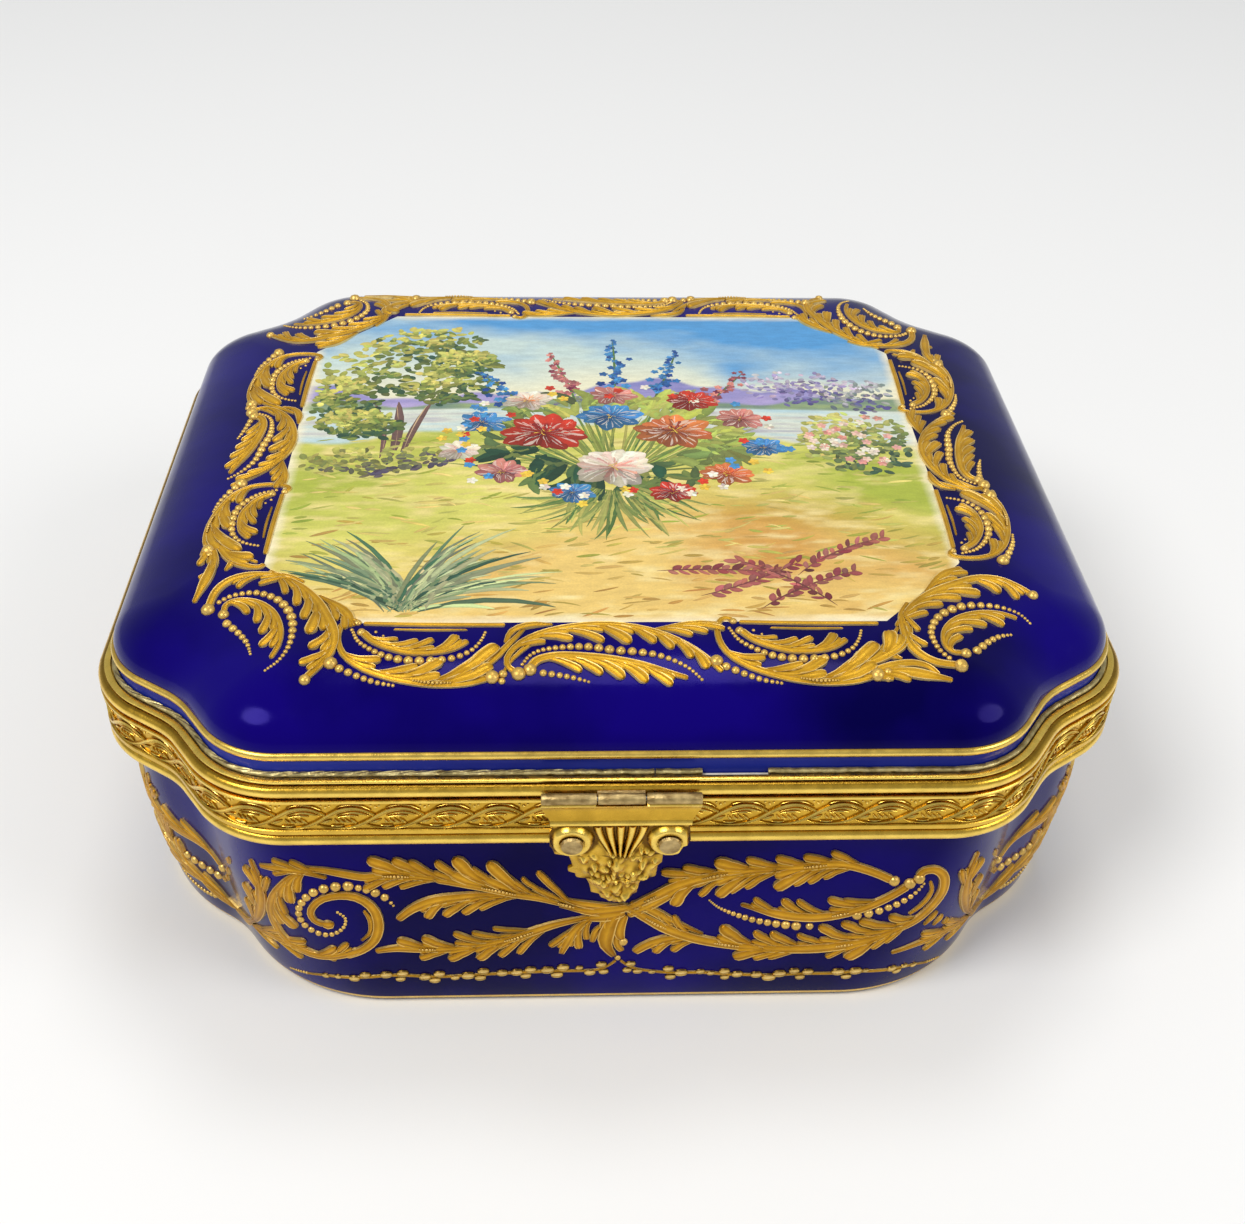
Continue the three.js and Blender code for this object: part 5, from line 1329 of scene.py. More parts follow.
frieze, berries = [], []
for middle in np.arange(RIBBONS) * LAND_LENGTH / RIBBONS:
    here = np.array([middle, FRIEZE_MIDDLE])
    frieze.append(stroke(here + RIBBON, 0.2, 0.56, 0.3, 0.66, 0.7))
    frieze += [stroke(here + arc, 0.12, half, 0.12, 0.46) for arc, half in ARCS]
    frieze += [stroke(here + leaf[:3], 0.14, leaf[3], 0.12, 0.46, 0.5) for leaf in EYE_LEAVES]
    berries += [(x + middle, z + FRIEZE_MIDDLE, radius, 0.0) for x, z, radius in FRIEZE_BERRIES]
frieze_parts = [*stroke_parts(frieze, on_land, CHASED_GOLD), pearl_part(berries, on_land, CHASED_GOLD)]
make_piece("frieze_gilt", frieze_parts, "base")

# %% [markdown]
# ## Collar round the lid
#
# A thin strip of brass is crimped over the lid's foot in three lengths. Its upper edge is a
# little ragged and the front has been mended with two short strips, which leaves an open
# stretch where the blue shows.

# %% Collar strips
COLLAR_SECTION = [(0.3, 76.9), (1.36, 76.9), (1.4, 77.3), (1.38, 77.7), (1.15, 77.95), (0.7, 78.08),
                  (0.3, 78.1)]
COLLAR_LEVEL = [0.1, 0.2, 0.6, 0.9, 1, 0.8, 0.5]
PATCH_START, PATCH_JOINT, PATCH_END, COLLAR_START = -17.9, 7.6, 18.2, 33.0
WAVE, WAVE_FOOT = 0.06, 77.5


def collar_strip(start, end, cuts):
    """A strip between two runs along the outline. Its top edge waves by WAVE times
    sin(1.9 s) + sin(0.73 s + 1) at the run s."""
    s, rows = np.linspace(start, end, cuts), []
    for offset, z in COLLAR_SECTION:
        ring = closed_plan(offset)
        run = run_along(ring)
        wave = WAVE * (np.sin(s * 1.9) + np.sin(s * 0.73 + 1)) * (z > WAVE_FOOT)
        rows.append(np.column_stack([places_at(np.mod(s, run[-1]), run, ring), z + wave]))
    points = np.stack(rows, 1)
    relief = np.ones(points.shape)
    relief[:, :, 2] = COLLAR_LEVEL
    return points, tube_faces(cuts, len(COLLAR_SECTION)), STRIP_BRASS, relief


LID_LENGTH = 4 * np.linalg.norm(np.diff(quarter_plan(1.4), axis=0), axis=1).sum()
make_piece("collar_round_lid", [collar_strip(COLLAR_START, LID_LENGTH + PATCH_START, 700)], "lid",
           ["collar_main"])
make_piece("collar_mend_left", [collar_strip(PATCH_START + 0.3, PATCH_JOINT - 0.15, 60)], "lid",
           ["collar_patch_left"])
make_piece("collar_mend_right", [collar_strip(PATCH_JOINT + 0.15, PATCH_END, 30)], "lid",
           ["collar_patch_right"])

# %% [markdown]
# ## Clasp
#
# The plate is a slab with hollow-cut ends, a sunk field and a rounded fillet at its foot, hung
# from two worn knuckles, and the lid's lug turns between them. The leaf is a casting: its
# front is a height over the leaf's outline, made of two volute rings round the rivets, flutes
# that fan up from the middle and a crowd of small foliage lobes towards the scalloped tip.
# On the plate and the leaf the gilding is brown in the hollows as painted shade and bright on
# the rounded parts as a painted highlight.

# %% Clasp plate
CLASP_Y, CLASP_Z, CLASP_HALF, KNUCKLE = -116.0, 76.25, 17.8, 1.3
PLATE_BACK, PLATE_FOOT, PLATE_FOOT_HALF, LUG_HALF, NOTCH_Z = -115.0, 68.75, 15.75, 5.3, 74.85
LUG_BACK, LINK_FOOT, LINK_TOP = -112.95, 74.3, 75.9
KNUCKLE_END, KNUCKLE_EDGE, KNUCKLE_GAP, KNUCKLE_SIDES, PLATE_COLUMNS = 0.9, 1.2, 0.15, 24, 61
plate_section = np.array([
    (-115.0, 76.25), (-115.0, 68.75), (-115.5, 68.75), (-116.6, 68.8), (-117.05, 69.05), (-117.15, 69.45),
    (-117.0, 69.85), (-116.75, 70.1), (-116.6, 70.5), (-116.62, 73.2), (-116.75, 74.3), (-117.0, 74.6),
    (-117.05, 74.9), (-116.7, 75.2), (-116.3, 76.25)])
# plate rows: a painted highlight on the rounded fillets at foot and top, painted shade in the field and at
# the back
plate_level = [0.2, 0.2, 0.2, 0.6, 0.95, 1, 0.85, 0.45, 0.3, 0.35, 0.4, 0.9, 1, 0.4, 0.3]
reach = np.clip((plate_section[:, 1] - PLATE_FOOT) / 5.0, 0, 1)
plate_half = PLATE_FOOT_HALF + (CLASP_HALF - PLATE_FOOT_HALF) * reach ** 2.2
across = np.linspace(-1, 1, PLATE_COLUMNS)
plate_points = np.stack([plate_half[:, None] * across,
                         np.repeat(plate_section[:, :1], PLATE_COLUMNS, 1),
                         np.repeat(plate_section[:, 1:], PLATE_COLUMNS, 1)], -1)
notch = (np.abs(plate_points[..., 0]) < LUG_HALF + 0.3) & (plate_points[..., 2] > NOTCH_Z)
plate_points[..., 2] = np.where(notch, NOTCH_Z, plate_points[..., 2])
plate_relief = np.ones(plate_points.shape)
plate_relief[:, :, 2] = np.array(plate_level)[:, None]
edge = np.arange(len(plate_section)) * PLATE_COLUMNS
plate_faces = [grid_faces(len(plate_section), PLATE_COLUMNS, wrap_rows=True),
               np.array([edge, edge[::-1] + PLATE_COLUMNS - 1])]


def knuckle(x0, x1):
    """A knuckle with slightly rounded ends, as a turned profile along x."""
    turn = np.linspace(0, 2 * math.pi, KNUCKLE_SIDES, endpoint=False)
    profile = [(x0, KNUCKLE_END), (x0 + 0.08, KNUCKLE_EDGE), (x0 + 0.25, KNUCKLE),
               (x1 - 0.25, KNUCKLE), (x1 - 0.08, KNUCKLE_EDGE), (x1, KNUCKLE_END)]
    points = np.stack([np.column_stack([np.full(KNUCKLE_SIDES, x), CLASP_Y - r * np.sin(turn),
                                        CLASP_Z - r * np.cos(turn)]) for x, r in profile])
    return points, tube_faces(len(profile), KNUCKLE_SIDES), WORN_BRASS, None


make_piece("clasp_plate_gilt", [
    (plate_points, plate_faces, ORMOLU, plate_relief),
    knuckle(-CLASP_HALF, -LUG_HALF - KNUCKLE_GAP),
    knuckle(LUG_HALF + KNUCKLE_GAP, CLASP_HALF)], "clasp", ["clasp_plate"])

x, y, z = np.meshgrid([-LUG_HALF, LUG_HALF], [CLASP_Y, LUG_BACK], [LINK_FOOT, LINK_TOP], indexing="ij")
link_faces = np.array([[0, 1, 3, 2], [4, 6, 7, 5], [0, 4, 5, 1], [2, 3, 7, 6], [0, 2, 6, 4], [1, 5, 7, 3]])
make_piece("clasp_lug_worn", [knuckle(-LUG_HALF, LUG_HALF),
                              (np.stack([x, y, z], -1).reshape(-1, 3), [link_faces], WORN_BRASS, None)],
           "lid", ["clasp_lug"])

# %% Clasp leaf
LEAF_FOOT, LEAF_TURN = 28.3, math.radians(6)
LEAF_LEFT = [(0, -15.2), (2.2, -15.7), (3.3, -16), (7.5, -16), (8.4, -15.4), (10.2, -14.9),
             (10.9, -11.7), (12.7, -11.2), (14.7, -10.8), (15.4, -11.9), (16.6, -11.8), (17.3, -10.3),
             (18.7, -10), (18.9, -7.8), (21.3, -7), (24.3, -6.5), (25, -4.7), (26.4, -4.2), (27.4, -2.4),
             (28.3, -1.2)]
LEAF_RIGHT = [(0, 15.2), (3, 15.7), (5.6, 15.9), (5.9, 14.9), (7.5, 14.3), (10.2, 13.5), (10.5, 9.8),
              (13.6, 9.7), (14.7, 8.8), (18.7, 8.4), (19, 5.3), (21.9, 4.6), (24.8, 4.2), (25.2, 2.5),
              (27.2, 1.9), (28.3, 0.8)]
VOLUTES, VOLUTE_RING, RIVET_SEAT = ((-11.0, 4.9), (11.0, 4.9)), 3.9, 2.9
LEAF_ROWS, LEAF_COLUMNS, LEAF_LOBES, LEAF_BODY, LEAF_EDGE = 190, 170, 95, 1.05, 0.8


def leaf_height(x, down):
    """Depth of the casting in front of its back, above the place x across and down the leaf."""
    height = LEAF_BODY + 0.6 * np.exp(-(x / 5) ** 2 - ((down - 14) / 9) ** 2)
    for cx, cd in VOLUTES:
        r = np.hypot(x - cx, down - cd)
        height += (1.6 * np.exp(-(np.maximum(r - VOLUTE_RING, 0) / 0.8) ** 2)
                   - 0.6 * np.exp(-((r - 5.5) / 0.4) ** 2))
    drawn_in = 1 - 0.72 * ease(down / 13)
    fluted = ease((7.8 * drawn_in - np.abs(x)) / 1.2) * ease((12 - down) / 4)
    height += fluted * (1.5 * np.abs(np.cos(math.pi * x / (2.6 * drawn_in))) ** 0.8 - 0.6)
    pick = np.random.default_rng(7)
    for k in range(LEAF_LOBES):
        d = 9 + 18.5 * pick.random()
        width = np.interp(d, [9, 18, 28], [9.5, 7.5, 1.5])
        cx = pick.uniform(-width, width)
        way = math.atan2(cx, 30 - d) + pick.normal(0, 0.35)
        u = (x - cx) * math.cos(way) + (down - d) * math.sin(way)
        v = -(x - cx) * math.sin(way) + (down - d) * math.cos(way)
        size = pick.uniform(0.5, 0.95)
        lobe = pick.uniform(0.7, 1.5) * np.exp(-(u / size) ** 2 - (v / (size * pick.uniform(1.2, 2.1))) ** 2)
        height = np.maximum(height, LEAF_BODY + lobe) if k % 2 else height + 0.4 * lobe
    return np.clip(height, 0.5, 3.0)


down = np.linspace(0, LEAF_FOOT, LEAF_ROWS)
left, right = (np.interp(down, *np.array(side).T) for side in (LEAF_LEFT, LEAF_RIGHT))
share = np.linspace(0, 1, LEAF_COLUMNS)
leaf_x = left[:, None] + (right - left)[:, None] * share
leaf_down = np.repeat(down[:, None], LEAF_COLUMNS, 1)
front = leaf_height(leaf_x, leaf_down)
rim = np.minimum(np.minimum(share, 1 - share)[None] * (right - left)[:, None],
                 (LEAF_FOOT - leaf_down) * 1.5 + 0.01)
front = LEAF_EDGE + (front - LEAF_EDGE) * np.sqrt(np.clip(rim / 0.9, 0, 1))
seat = np.min([np.hypot(leaf_x - cx, leaf_down - cd) for cx, cd in VOLUTES], axis=0)
front = np.where(seat < RIVET_SEAT, np.minimum(front, 2.5), front)


def leaf_frame(x, depth, down):
    """From the leaf's own frame to the box: hung at the plate's foot, leaning in."""
    y = PLATE_BACK - depth * math.cos(LEAF_TURN) + down * math.sin(LEAF_TURN)
    z = PLATE_FOOT - 0.3 - depth * math.sin(LEAF_TURN) - down * math.cos(LEAF_TURN)
    return np.stack([x, y, z], -1)


leaf_points = np.stack([leaf_frame(leaf_x, front, leaf_down),
                        leaf_frame(leaf_x, np.zeros_like(front), leaf_down)])
leaf_relief = np.ones(leaf_points.shape)
# painted light: the front is compared with a blurred copy of itself, so hollows get painted shade and bumps a
# painted highlight
level = front
for step in (1, 2, 4, 6):
    level = sum(np.roll(level, shift, axis) for shift in (-step, step) for axis in (0, 1)) / 4
leaf_relief[0, :, :, 2] = np.clip(0.42 + 1.5 * (front - level), 0, 1)
leaf_faces = sheet_faces(LEAF_ROWS, LEAF_COLUMNS, turned=True)
make_piece("clasp_leaf_cast", [(leaf_points, leaf_faces, ORMOLU, leaf_relief)], "clasp",
           ["clasp_leaf"])

# %% [markdown]
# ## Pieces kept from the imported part
#
# The bedding, the hinge, the pins, the keeper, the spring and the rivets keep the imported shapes
# and only take a finish.

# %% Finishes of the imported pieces
KEPT = {
    PLASTER: ["body_bedding", "lid_bedding"],
    GILT: ["hinge_leaf_body", "hinge_leaf_lid", "hinge_rivet_body_left", "hinge_rivet_body_right",
           "hinge_rivet_lid_left", "hinge_rivet_lid_right", "catch_keeper"],
    STEEL: ["hinge_pin", "clasp_pin", "catch_spring"],
    WORN_BRASS: ["clasp_rivet_left", "clasp_rivet_right"],
}
for finish, names in KEPT.items():
    for name in names:
        mesh = bpy.data.objects[name].data
        mesh.materials.clear()
        mesh.materials.append(finish)
print("packed pieces finished", sum(map(len, KEPT.values())))


# %% [markdown]
# ## Painted panel
#
# The middle of the lid is painted in enamel colours: a spray of garden flowers in a meadow, with
# a lake and lilac hills behind. The soft parts, sky and ground, are one thin skin whose points
# carry their colour, worked out from bands of the landscape and smooth noise. Everything with
# an edge is laid over it in brush strokes. A brush stroke is a thin curved leaf of paint with its
# own colour, so trees, petals and grasses are all made by the same function.

# %% Painting tools
PANEL_MARGIN, PANEL_CHAMFER_X, PANEL_CHAMFER_Y = 1.5, 62.0, 54.0
PANEL_SLOPE = (PANEL_HALF_WIDTH - PANEL_CHAMFER_X) / (PANEL_HALF_DEPTH - PANEL_CHAMFER_Y)
PAINT_FOOT, PAINT_LIFT, PAINT_TOP = -0.05, 0.012, 0.045
LANDSCAPE_FOOT, LANDSCAPE_TOP, FLOWERS_FOOT = 0.016, 0.028, 0.030
PANEL_ROWS, PANEL_COLUMNS = 205, 225


def paint(red, green, blue):
    """A colour as seen, 0 to 255, turned into amounts of light."""
    return (np.array([red, green, blue]) / 255) ** 2.2


def blend(a, b, share):
    """From a to b by a share of any shape."""
    share = np.clip(share, 0, 1)[..., None]
    return a * (1 - share) + b * share


def soft_noise(x, y, size, seed, octaves=4):
    """Smooth noise around 0.5: random values on a lattice of that size, blended between its
    corners, plus finer lattices at half the strength each."""
    pick, total, weight = np.random.default_rng(seed), 0.0, 0.0
    for octave in range(octaves):
        lattice = pick.random((97, 97))
        u, v = np.mod(x / size * 2 ** octave, 96), np.mod(y / size * 2 ** octave, 96)
        i, j = u.astype(int), v.astype(int)
        a, b = ease(u - i), ease(v - j)
        value = ((lattice[i, j] * (1 - a) + lattice[i + 1, j] * a) * (1 - b)
                 + (lattice[i, j + 1] * (1 - a) + lattice[i + 1, j + 1] * a) * b)
        total, weight = total + value * 0.5 ** octave, weight + 0.5 ** octave
    return total / weight


def panel_half(y, margin):
    """Half the panel's width at y, when its chamfered outline is moved out by margin."""
    past = np.clip(np.abs(y) - PANEL_CHAMFER_Y - margin * 0.4, 0, None)
    return PANEL_HALF_WIDTH + margin - PANEL_SLOPE * past


def inside_panel(x, y, margin=0.0):
    """Whether a place lies inside the panel's outline, moved out by margin."""
    return (np.abs(x) < panel_half(y, margin)) & (np.abs(y) < PANEL_HALF_DEPTH + margin)


# %% Landscape colours
HORIZON = 20.0


def landscape(x, y):
    """The colours of sky, hills, lake and meadow at places of the panel."""
    drift = soft_noise(x + 200, 1.8 * y + 300, 34, 3)
    fine = soft_noise(x + 200, 4 * y + 300, 9, 4)
    high = (y - HORIZON) / 56
    sky = blend(paint(250, 236, 190), paint(196, 214, 208), 2.0 * high + 0.8 * (drift - 0.5))
    sky = blend(sky, paint(84, 152, 208), 1.9 * (high - 0.42) + 2.2 * (drift - 0.5) + 0.004 * x)
    far = HORIZON + 11 + 4.5 * np.sin(x / 19 + 0.6) + 2.2 * np.sin(x / 7.3) + 1.2 * np.sin(x / 2.9 + 2)
    near = HORIZON + 4.5 + 2.4 * np.sin(x / 13 + 2.4) + 1.2 * np.sin(x / 4.1)
    hills = blend(paint(176, 160, 204), paint(134, 132, 188), (y - HORIZON) / 14 + 0.9 * (fine - 0.5))
    shore = blend(paint(150, 168, 116), paint(104, 128, 120), 1.6 * fine - 0.3)
    colour = blend(sky, hills, (far - y) / 1.3)
    colour = blend(colour, shore, (near - y) / 0.9)
    ripple = soft_noise(0.25 * x + 90, 3.2 * y + 90, 6, 8)
    water = blend(paint(176, 206, 214), paint(238, 230, 196), 1.7 * ripple - 0.35)
    water = blend(water, paint(128, 130, 172), 3.4 * (ripple - 0.56))
    grass = blend(paint(214, 208, 104), paint(168, 178, 66), 2.4 * (drift - 0.32))
    grass = blend(grass, paint(238, 216, 140), 2.6 * (fine - 0.48))
    earth = blend(paint(232, 196, 112), paint(206, 150, 72), 2.2 * (drift - 0.38))
    earth = blend(earth, paint(244, 224, 158), 2.4 * (fine - 0.52))
    ground = blend(grass, earth, (-26 - y + 18 * np.sin(x / 31 + 0.8)) / 30)
    bank = 5.5 + 5.0 * np.sin(x / 26 + 2.1) + 1.2 * np.sin(x / 5)
    lower = blend(water, ground, (bank + 1.5 - y) / 1.8)
    colour = blend(colour, lower, (HORIZON - y) / 0.7)
    edge = np.minimum(PANEL_HALF_WIDTH - np.abs(x), PANEL_HALF_DEPTH - np.abs(y))
    colour = blend(colour, paint(246, 234, 200), 0.42 - edge / 3.5 + 0.5 * (fine - 0.5))
    return np.clip(colour, 0, 1)


def on_panel(flat, height):
    """Carries flat places to the crown of the lid, height in millimetres above it."""
    return np.column_stack([flat, lid_height(*flat.T) + height])


down_panel = np.linspace(-1, 1, PANEL_ROWS)[:, None] * (PANEL_HALF_DEPTH + PANEL_MARGIN)
panel_x = panel_half(down_panel, PANEL_MARGIN) * np.linspace(-1, 1, PANEL_COLUMNS)
panel = np.stack([panel_x, np.repeat(down_panel, PANEL_COLUMNS, 1)], -1).reshape(-1, 2)
panel_colours = landscape(*panel.T)


def enamel_finish(name, streak):
    """Enamel paint: the points' own colour, broken up by streaks of the brush and fine grain."""
    material, tree, shader = new_finish(name, Specular_IOR_Level=0.35, Roughness=0.38)
    own = add_node(tree, "ShaderNodeAttribute", attribute_name="relief").outputs["Vector"]
    streaks = ramp(tree, object_noise(tree, 420, 4, stretch=(0.5, 1.6, 1)),
                   {0.3: (1 - streak,) * 3, 0.7: (1.0,) * 3})
    grain = ramp(tree, object_noise(tree, 1900, 2), {0.3: (0.86,) * 3, 0.7: (1.0, 1.0, 0.97)})
    broken = mixed(tree, 1.0, own, streaks, "MULTIPLY")
    tree.links.new(mixed(tree, 0.8, broken, grain, "MULTIPLY"), shader.inputs["Base Color"])
    tree.links.new(bump(tree, object_noise(tree, 1300, 3), 0.35, 0.00008), shader.inputs["Normal"])
    return material


ENAMEL = enamel_finish("enamel_ground", 0.16)
ENAMEL_STROKES = enamel_finish("enamel_strokes", 0.22)
ground_points = np.stack([on_panel(panel, PAINT_LIFT), on_panel(panel, PAINT_FOOT)])
make_piece("painted_ground", [(ground_points, sheet_faces(PANEL_ROWS, PANEL_COLUMNS), ENAMEL,
                               np.stack([panel_colours, panel_colours]))], "lid")

# %% [markdown]
# ## Brush strokes of the painting
#
# Strokes are collected in layers, each a set of arrays: place, direction, length, width, bend
# and colour. Later layers lie a few thousandths of a millimetre higher, so that they cover the
# earlier ones as paint does.

# %% Brush strokes
BRUSH_STATIONS = np.array([0, 0.1, 0.28, 0.5, 0.72, 0.9, 1.0])
BRUSH_WIDTH = np.array([0.12, 0.55, 0.92, 1.0, 0.86, 0.5, 0.1])
BRUSH_ACROSS = np.array([-1.0, 0.0, 1.0, 0.0])
BRUSH_HEIGHT, BRUSH_SHADE = np.array([0, 0.002, 0, -0.03]), np.array([0.86, 1.08, 0.86, 1.0])
INSIDE = 0.6
pick = np.random.default_rng(11)


class Painting:
    """Brush strokes in the order in which they are painted."""

    def __init__(self):
        self.layers = []

    def brush(self, x, y, turn, length, half, colour, bend=0.0, vary=0.12):
        """Strokes starting at (x, y) in the direction turn, each bending by bend radians on its
        way. colour is one or one per stroke and varies a little in lightness and warmth."""
        layer = [v.ravel() for v in np.broadcast_arrays(x, y, turn, length, half, bend)]
        count = len(layer[0])
        colour = np.broadcast_to(colour, (count, 3)) * (1 + vary * pick.normal(0, 1, (count, 1)))
        colour = colour * (1 + 0.35 * vary * pick.normal(0, 1, (count, 3)))
        self.layers.append([*layer, np.clip(colour, 0.003, 0.95)])

    def part(self, material, first, last):
        """All strokes as one part, from the height first to the height last above the crown."""
        strokes = [np.concatenate(values) for values in zip(*self.layers)]
        x, y, turn, length, _, bend, _ = strokes
        middle, end = length / 2, turn + bend / 2
        keep = (inside_panel(x, y)
                & inside_panel(x + middle * np.cos(turn), y + middle * np.sin(turn), -INSIDE)
                & inside_panel(x + length * np.cos(end), y + length * np.sin(end)))
        x, y, turn, length, half, bend, colour = (values[keep] for values in strokes)
        t = BRUSH_STATIONS
        way = turn[:, None] + bend[:, None] * t
        average = turn[:, None] + bend[:, None] * t / 2
        spine = np.stack([x[:, None] + length[:, None] * t * np.cos(average),
                          y[:, None] + length[:, None] * t * np.sin(average)], -1)
        side = np.stack([-np.sin(way), np.cos(way)], -1)
        width = (half[:, None] * BRUSH_WIDTH)[:, :, None, None] * BRUSH_ACROSS[:, None]
        flat = spine[:, :, None] + side[:, :, None] * width
        level = np.linspace(first, last, len(x))[:, None, None]
        height = level + BRUSH_HEIGHT * np.ones((1, len(t), 1))
        shade = BRUSH_SHADE[None, None, :, None] * (0.88 + 0.2 * t)[None, :, None, None]
        rows, columns = len(t), len(BRUSH_ACROSS)
        faces = [copies(part, len(x), rows * columns) for part in tube_faces(rows, columns)]
        print(len(x), "brush strokes")
        return (on_panel(flat.reshape(-1, 2), height.ravel()), faces, material,
                np.clip(colour[:, None, None] * shade, 0, 1))


def cluster(count, cx, cy, rx, ry):
    """Places scattered over an ellipse, denser in the middle."""
    radius, turn = np.sqrt(pick.random(count)) ** 1.15, pick.uniform(0, 2 * math.pi, count)
    return cx + rx * radius * np.cos(turn), cy + ry * radius * np.sin(turn)


def foliage(painting, count, cx, cy, rx, ry, dark, middle, light, size):
    """Leaves over an ellipse, dark below and light on the upper left."""
    x, y = cluster(count, cx, cy, rx, ry)
    lit = 0.5 + 0.5 * ((y - cy) / ry - 0.5 * (x - cx) / rx) + pick.normal(0, 0.22, count)
    colour = blend(blend(dark, middle, lit * 2), light, lit * 2 - 1)
    order = np.argsort(lit)
    painting.brush(x[order], y[order], pick.uniform(-0.9, 3.6, count), pick.uniform(0.7, 1.3, count) * size,
                   pick.uniform(0.25, 0.42, count) * size, colour[order], pick.normal(0, 0.5, count), 0.16)


def blossom(painting, x, y, radius, outer, inner, squash=0.8):
    """A full flower seen a little from the side: four rings of petals, darker towards the heart
    and on the lower side, each petal with a lighter stroke along it."""
    for ring, (reach, number) in enumerate(((1.0, 15), (0.78, 13), (0.56, 10), (0.34, 7))):
        turn = np.linspace(0, 2 * math.pi, number, endpoint=False) + ring + pick.normal(0, 0.14, number)
        length = radius * reach * pick.uniform(0.82, 1.1, number)
        lie = np.arctan2(np.sin(turn) * squash, np.cos(turn))
        lit = 0.7 + 0.3 * np.sin(turn + 0.5)
        colour = blend(outer, inner, ring / 3.2 + pick.normal(0, 0.12, number)) * lit[:, None]
        seen = length * np.hypot(np.cos(turn), np.sin(turn) * squash)
        bend = pick.normal(0, 0.4, number)
        painting.brush(x, y, lie, seen, 0.27 * length, colour, bend)
        painting.brush(x + 0.4 * seen * np.cos(lie), y + 0.4 * seen * np.sin(lie), lie + 0.1, 0.5 * seen,
                       0.08 * length,
                       blend(colour, paint(255, 244, 226), np.full(number, 0.45)), bend, 0.08)
    cx, cy = cluster(7, x, y, 0.14 * radius, 0.12 * radius)
    painting.brush(cx, cy, pick.uniform(0, 6, 7), 0.14 * radius, 0.05 * radius, HEART, 0, 0.2)


def floret(painting, x, y, radius, colour):
    """Small open flowers of five petals, at arrays of places."""
    turn = np.linspace(0, 2 * math.pi, 5, endpoint=False)[None] + pick.uniform(0, 6, (len(x), 1))
    tone = np.repeat(np.broadcast_to(colour, (len(x), 3)), 5, 0)
    reach = np.repeat(np.broadcast_to(radius, len(x)), 5)
    painting.brush(np.repeat(x, 5), np.repeat(y, 5), turn.ravel(), reach, 0.4 * reach, tone, 0.3, 0.16)


def spike(painting, x, y, way, length, dark, light):
    """A tall stem with florets that grow smaller towards its top."""
    painting.brush(x, y, way, length, 0.4, STEM_GREEN, 0.1)
    t = np.linspace(0.25, 1, int(length * 0.9))
    side = pick.normal(0, 1, len(t)) * (1.25 - t) * 2.6
    fx = x + length * t * math.cos(way + 0.05) - side * math.sin(way)
    fy = y + length * t * math.sin(way + 0.05) + side * math.cos(way)
    floret(painting, fx, fy, 1.9 - 1.1 * t, blend(dark, light, pick.random(len(t))))


# %% Trees and meadow
LEAF_DARK, LEAF_MIDDLE, LEAF_LIGHT = paint(52, 84, 62), paint(122, 134, 62), paint(212, 204, 104)
LILAC_DARK, LILAC_MIDDLE, LILAC_LIGHT = paint(92, 84, 138), paint(146, 134, 178), paint(206, 196, 204)
scene_strokes = Painting()
foliage(scene_strokes, 150, 54, 32, 15, 10, LILAC_DARK, LILAC_MIDDLE, LILAC_LIGHT, 2.2)
foliage(scene_strokes, 110, 72, 28, 12, 9, LILAC_DARK, paint(128, 138, 130), LILAC_LIGHT, 2.2)
foliage(scene_strokes, 90, 20, 25, 9, 5, LILAC_DARK, paint(122, 140, 110), paint(196, 200, 136), 1.7)
foliage(scene_strokes, 80, -8, 24.5, 11, 4, LILAC_DARK, paint(134, 146, 108), paint(206, 204, 140), 1.6)
count = 620
x, y = pick.uniform(-82, 82, count), pick.uniform(-76, 4, count)
meadow = blend(paint(150, 166, 60), paint(232, 208, 120), pick.random(count) * 1.2 - 0.1)
meadow = blend(meadow, paint(198, 142, 70), (-30 - y) / 60 + pick.normal(0, 0.2, count))
scene_strokes.brush(x, y, pick.normal(0.1, 0.22, count), pick.uniform(3, 8, count), pick.uniform(0.25, 0.6,
                                                                                                 count),
                    meadow, pick.normal(0, 0.3, count), 0.1)
for x0, bend, width in ((-58, 0.25, 1.5), (-55.5, -0.2, 1.1), (-61, 0.5, 0.8)):
    scene_strokes.brush(x0, -6, 1.45, 30, width, paint(112, 84, 76), bend)
    scene_strokes.brush(x0 + 0.4, -4, 1.48, 26, 0.35 * width, paint(190, 158, 120), bend)
for cx, cy, rx, ry in ((-62, 42, 20, 15), (-45, 32, 13, 10), (-74, 26, 10, 13), (-52, 58, 17, 11),
                       (-68, 12, 11, 8),
                       (-40, 46, 10, 8)):
    foliage(scene_strokes, 170, cx, cy, rx, ry, LEAF_DARK, LEAF_MIDDLE, LEAF_LIGHT, 3.0)
foliage(scene_strokes, 150, -62, -8, 20, 7, paint(84, 74, 92), paint(126, 130, 70), paint(196, 190, 96), 2.6)
foliage(scene_strokes, 260, 68, 2, 16, 16, paint(66, 92, 72), paint(134, 144, 78), paint(206, 200, 112), 2.8)

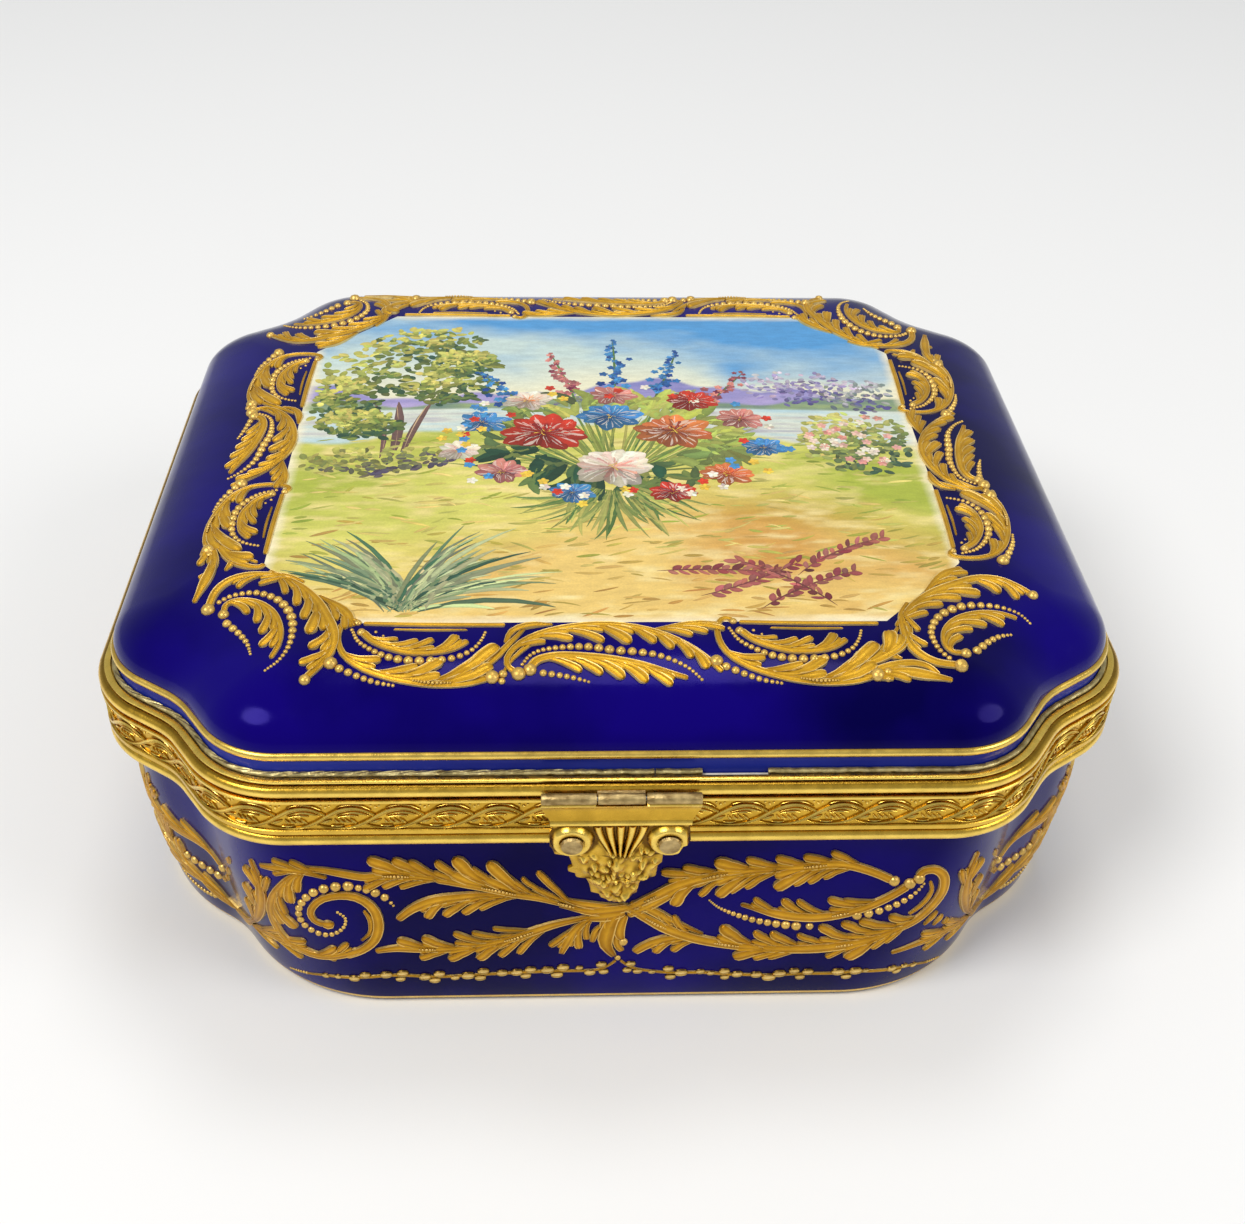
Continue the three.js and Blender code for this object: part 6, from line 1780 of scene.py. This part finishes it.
# %% Flowers and grasses
flowers = Painting()
RED, CRIMSON, ORANGE, WINE = paint(206, 58, 34), paint(120, 22, 34), paint(232, 128, 70), paint(112, 26, 66)
BLUE, DEEP_BLUE = paint(74, 144, 200), paint(24, 62, 132)
CREAM, ROSE = paint(248, 232, 206), paint(226, 142, 128)
HEART, STEM_GREEN = paint(240, 196, 70), paint(84, 116, 62)
x, y = cluster(34, 68, 4, 14, 14)
floret(flowers, x, y, 1.5, blend(ROSE, CREAM, pick.random(34)))
count = 70
turn = pick.uniform(0.1, 3.05, count)
flowers.brush(1 + 8 * np.cos(turn), -16 + 4 * np.sin(turn), turn, pick.uniform(20, 42, count), 0.4,
              blend(STEM_GREEN, paint(164, 170, 80), pick.random(count)), pick.normal(0, 0.25, count), 0.15)
for x, y, way, length in ((-8, 20, 1.75, 34), (2, 22, 1.5, 40), (12, 20, 1.25, 36), (-20, 16, 2.1, 30),
                          (24, 16, 0.95, 30)):
    spike(flowers, x, y, way, length, *((DEEP_BLUE, BLUE) if x < 14 and x != -8 else (WINE, ROSE)))
for reach, number in ((1.0, 90), (0.72, 70)):
    turn = pick.uniform(0, 2 * math.pi, number)
    lit = np.clip(0.5 + 0.5 * np.sin(turn + 0.6) + pick.normal(0, 0.25, number), 0, 1)
    flowers.brush(1 + 29 * reach * np.cos(turn), 2 + 20 * reach * np.sin(turn), turn + pick.normal(0, 0.5,
                                                                                                   number),
                  pick.uniform(7, 13, number), pick.uniform(1.2, 2.1, number),
                  blend(paint(40, 76, 54), paint(178, 186, 88), lit), pick.normal(0, 0.7, number), 0.16)
turn = pick.uniform(-2.7, -0.4, 60)
flowers.brush(1 + 7 * np.cos(turn), -20 + 3 * np.sin(turn), turn, pick.uniform(12, 24, 60),
              pick.uniform(0.35, 0.8, 60),
              blend(STEM_GREEN, paint(186, 180, 96), pick.random(60)), pick.normal(0, 0.5, 60))
SPRAY = [(-34, 12, 7.2, BLUE, DEEP_BLUE), (-40, -3, 6.2, CREAM, ROSE), (37, 14, 7.0, ROSE, CRIMSON),
         (42, -1, 6.2, BLUE, DEEP_BLUE), (-22, 24, 7.0, CREAM, ORANGE), (24, 24, 7.4, RED, CRIMSON),
         (2, 27, 6.8, ROSE, WINE), (31, -15, 7.2, ORANGE, RED), (-28, -14, 7.2, ROSE, WINE),
         (-17, 6, 12.0, RED, CRIMSON), (18, 7, 11.4, ORANGE, CRIMSON), (1, -12, 11.6, CREAM, ROSE),
         (1, 15, 9.4, BLUE, DEEP_BLUE), (-10, -24, 6.0, BLUE, DEEP_BLUE), (16, -24, 6.0, RED, WINE)]
for x, y, radius, outer, inner in SPRAY:
    blossom(flowers, x, y, radius, outer, inner)
turn = pick.uniform(0, 2 * math.pi, 60)
for part, colour in enumerate((BLUE, CREAM, RED, HEART)):
    chosen = turn[part::4]
    out = pick.uniform(0.8, 1.15, len(chosen))
    floret(flowers, 1 + 42 * out * np.cos(chosen), 2 + 28 * out * np.sin(chosen), 1.6, colour)
turn = np.linspace(2.6, 0.5, 90) + pick.normal(0, 0.12, 90)
flowers.brush(-50 + pick.normal(0, 1.8, 90), -74 + pick.uniform(0, 3, 90), turn, pick.uniform(16, 40, 90),
              pick.uniform(0.5, 1.0, 90), blend(paint(54, 96, 74), paint(202, 204, 146),
                                                pick.random(90) ** 1.5),
              np.where(turn > 1.57, 0.9, -0.9) * pick.uniform(0.3, 1.1, 90), 0.15)
for x0, y0, way, bend in ((20, -68, 0.35, 0.3), (34, -73, 0.75, -0.4), (52, -72, 2.2, 0.5),
                          (10, -58, 0.1, -0.25),
                          (44, -60, 0.9, -0.6)):
    t = np.linspace(0.1, 1, 22)
    reach, leaning = 28 * t, way + bend * t / 2
    sx, sy = x0 + reach * np.cos(leaning), y0 + reach * np.sin(leaning)
    flowers.brush(x0, y0, way, 29, 0.3, paint(122, 66, 62), bend)
    side = np.where(np.arange(22) % 2, 0.8, -0.8) + pick.normal(0, 0.2, 22)
    flowers.brush(sx, sy, leaning + side, pick.uniform(2.2, 4.0, 22), pick.uniform(0.5, 1.0, 22),
                  blend(paint(130, 52, 60), paint(176, 104, 92), pick.random(22)), -0.5 * side, 0.2)
make_piece("painted_landscape", [scene_strokes.part(ENAMEL_STROKES, LANDSCAPE_FOOT, LANDSCAPE_TOP)],
           "lid")
make_piece("painted_flowers", [flowers.part(ENAMEL_STROKES, FLOWERS_FOOT, PAINT_TOP)], "lid")
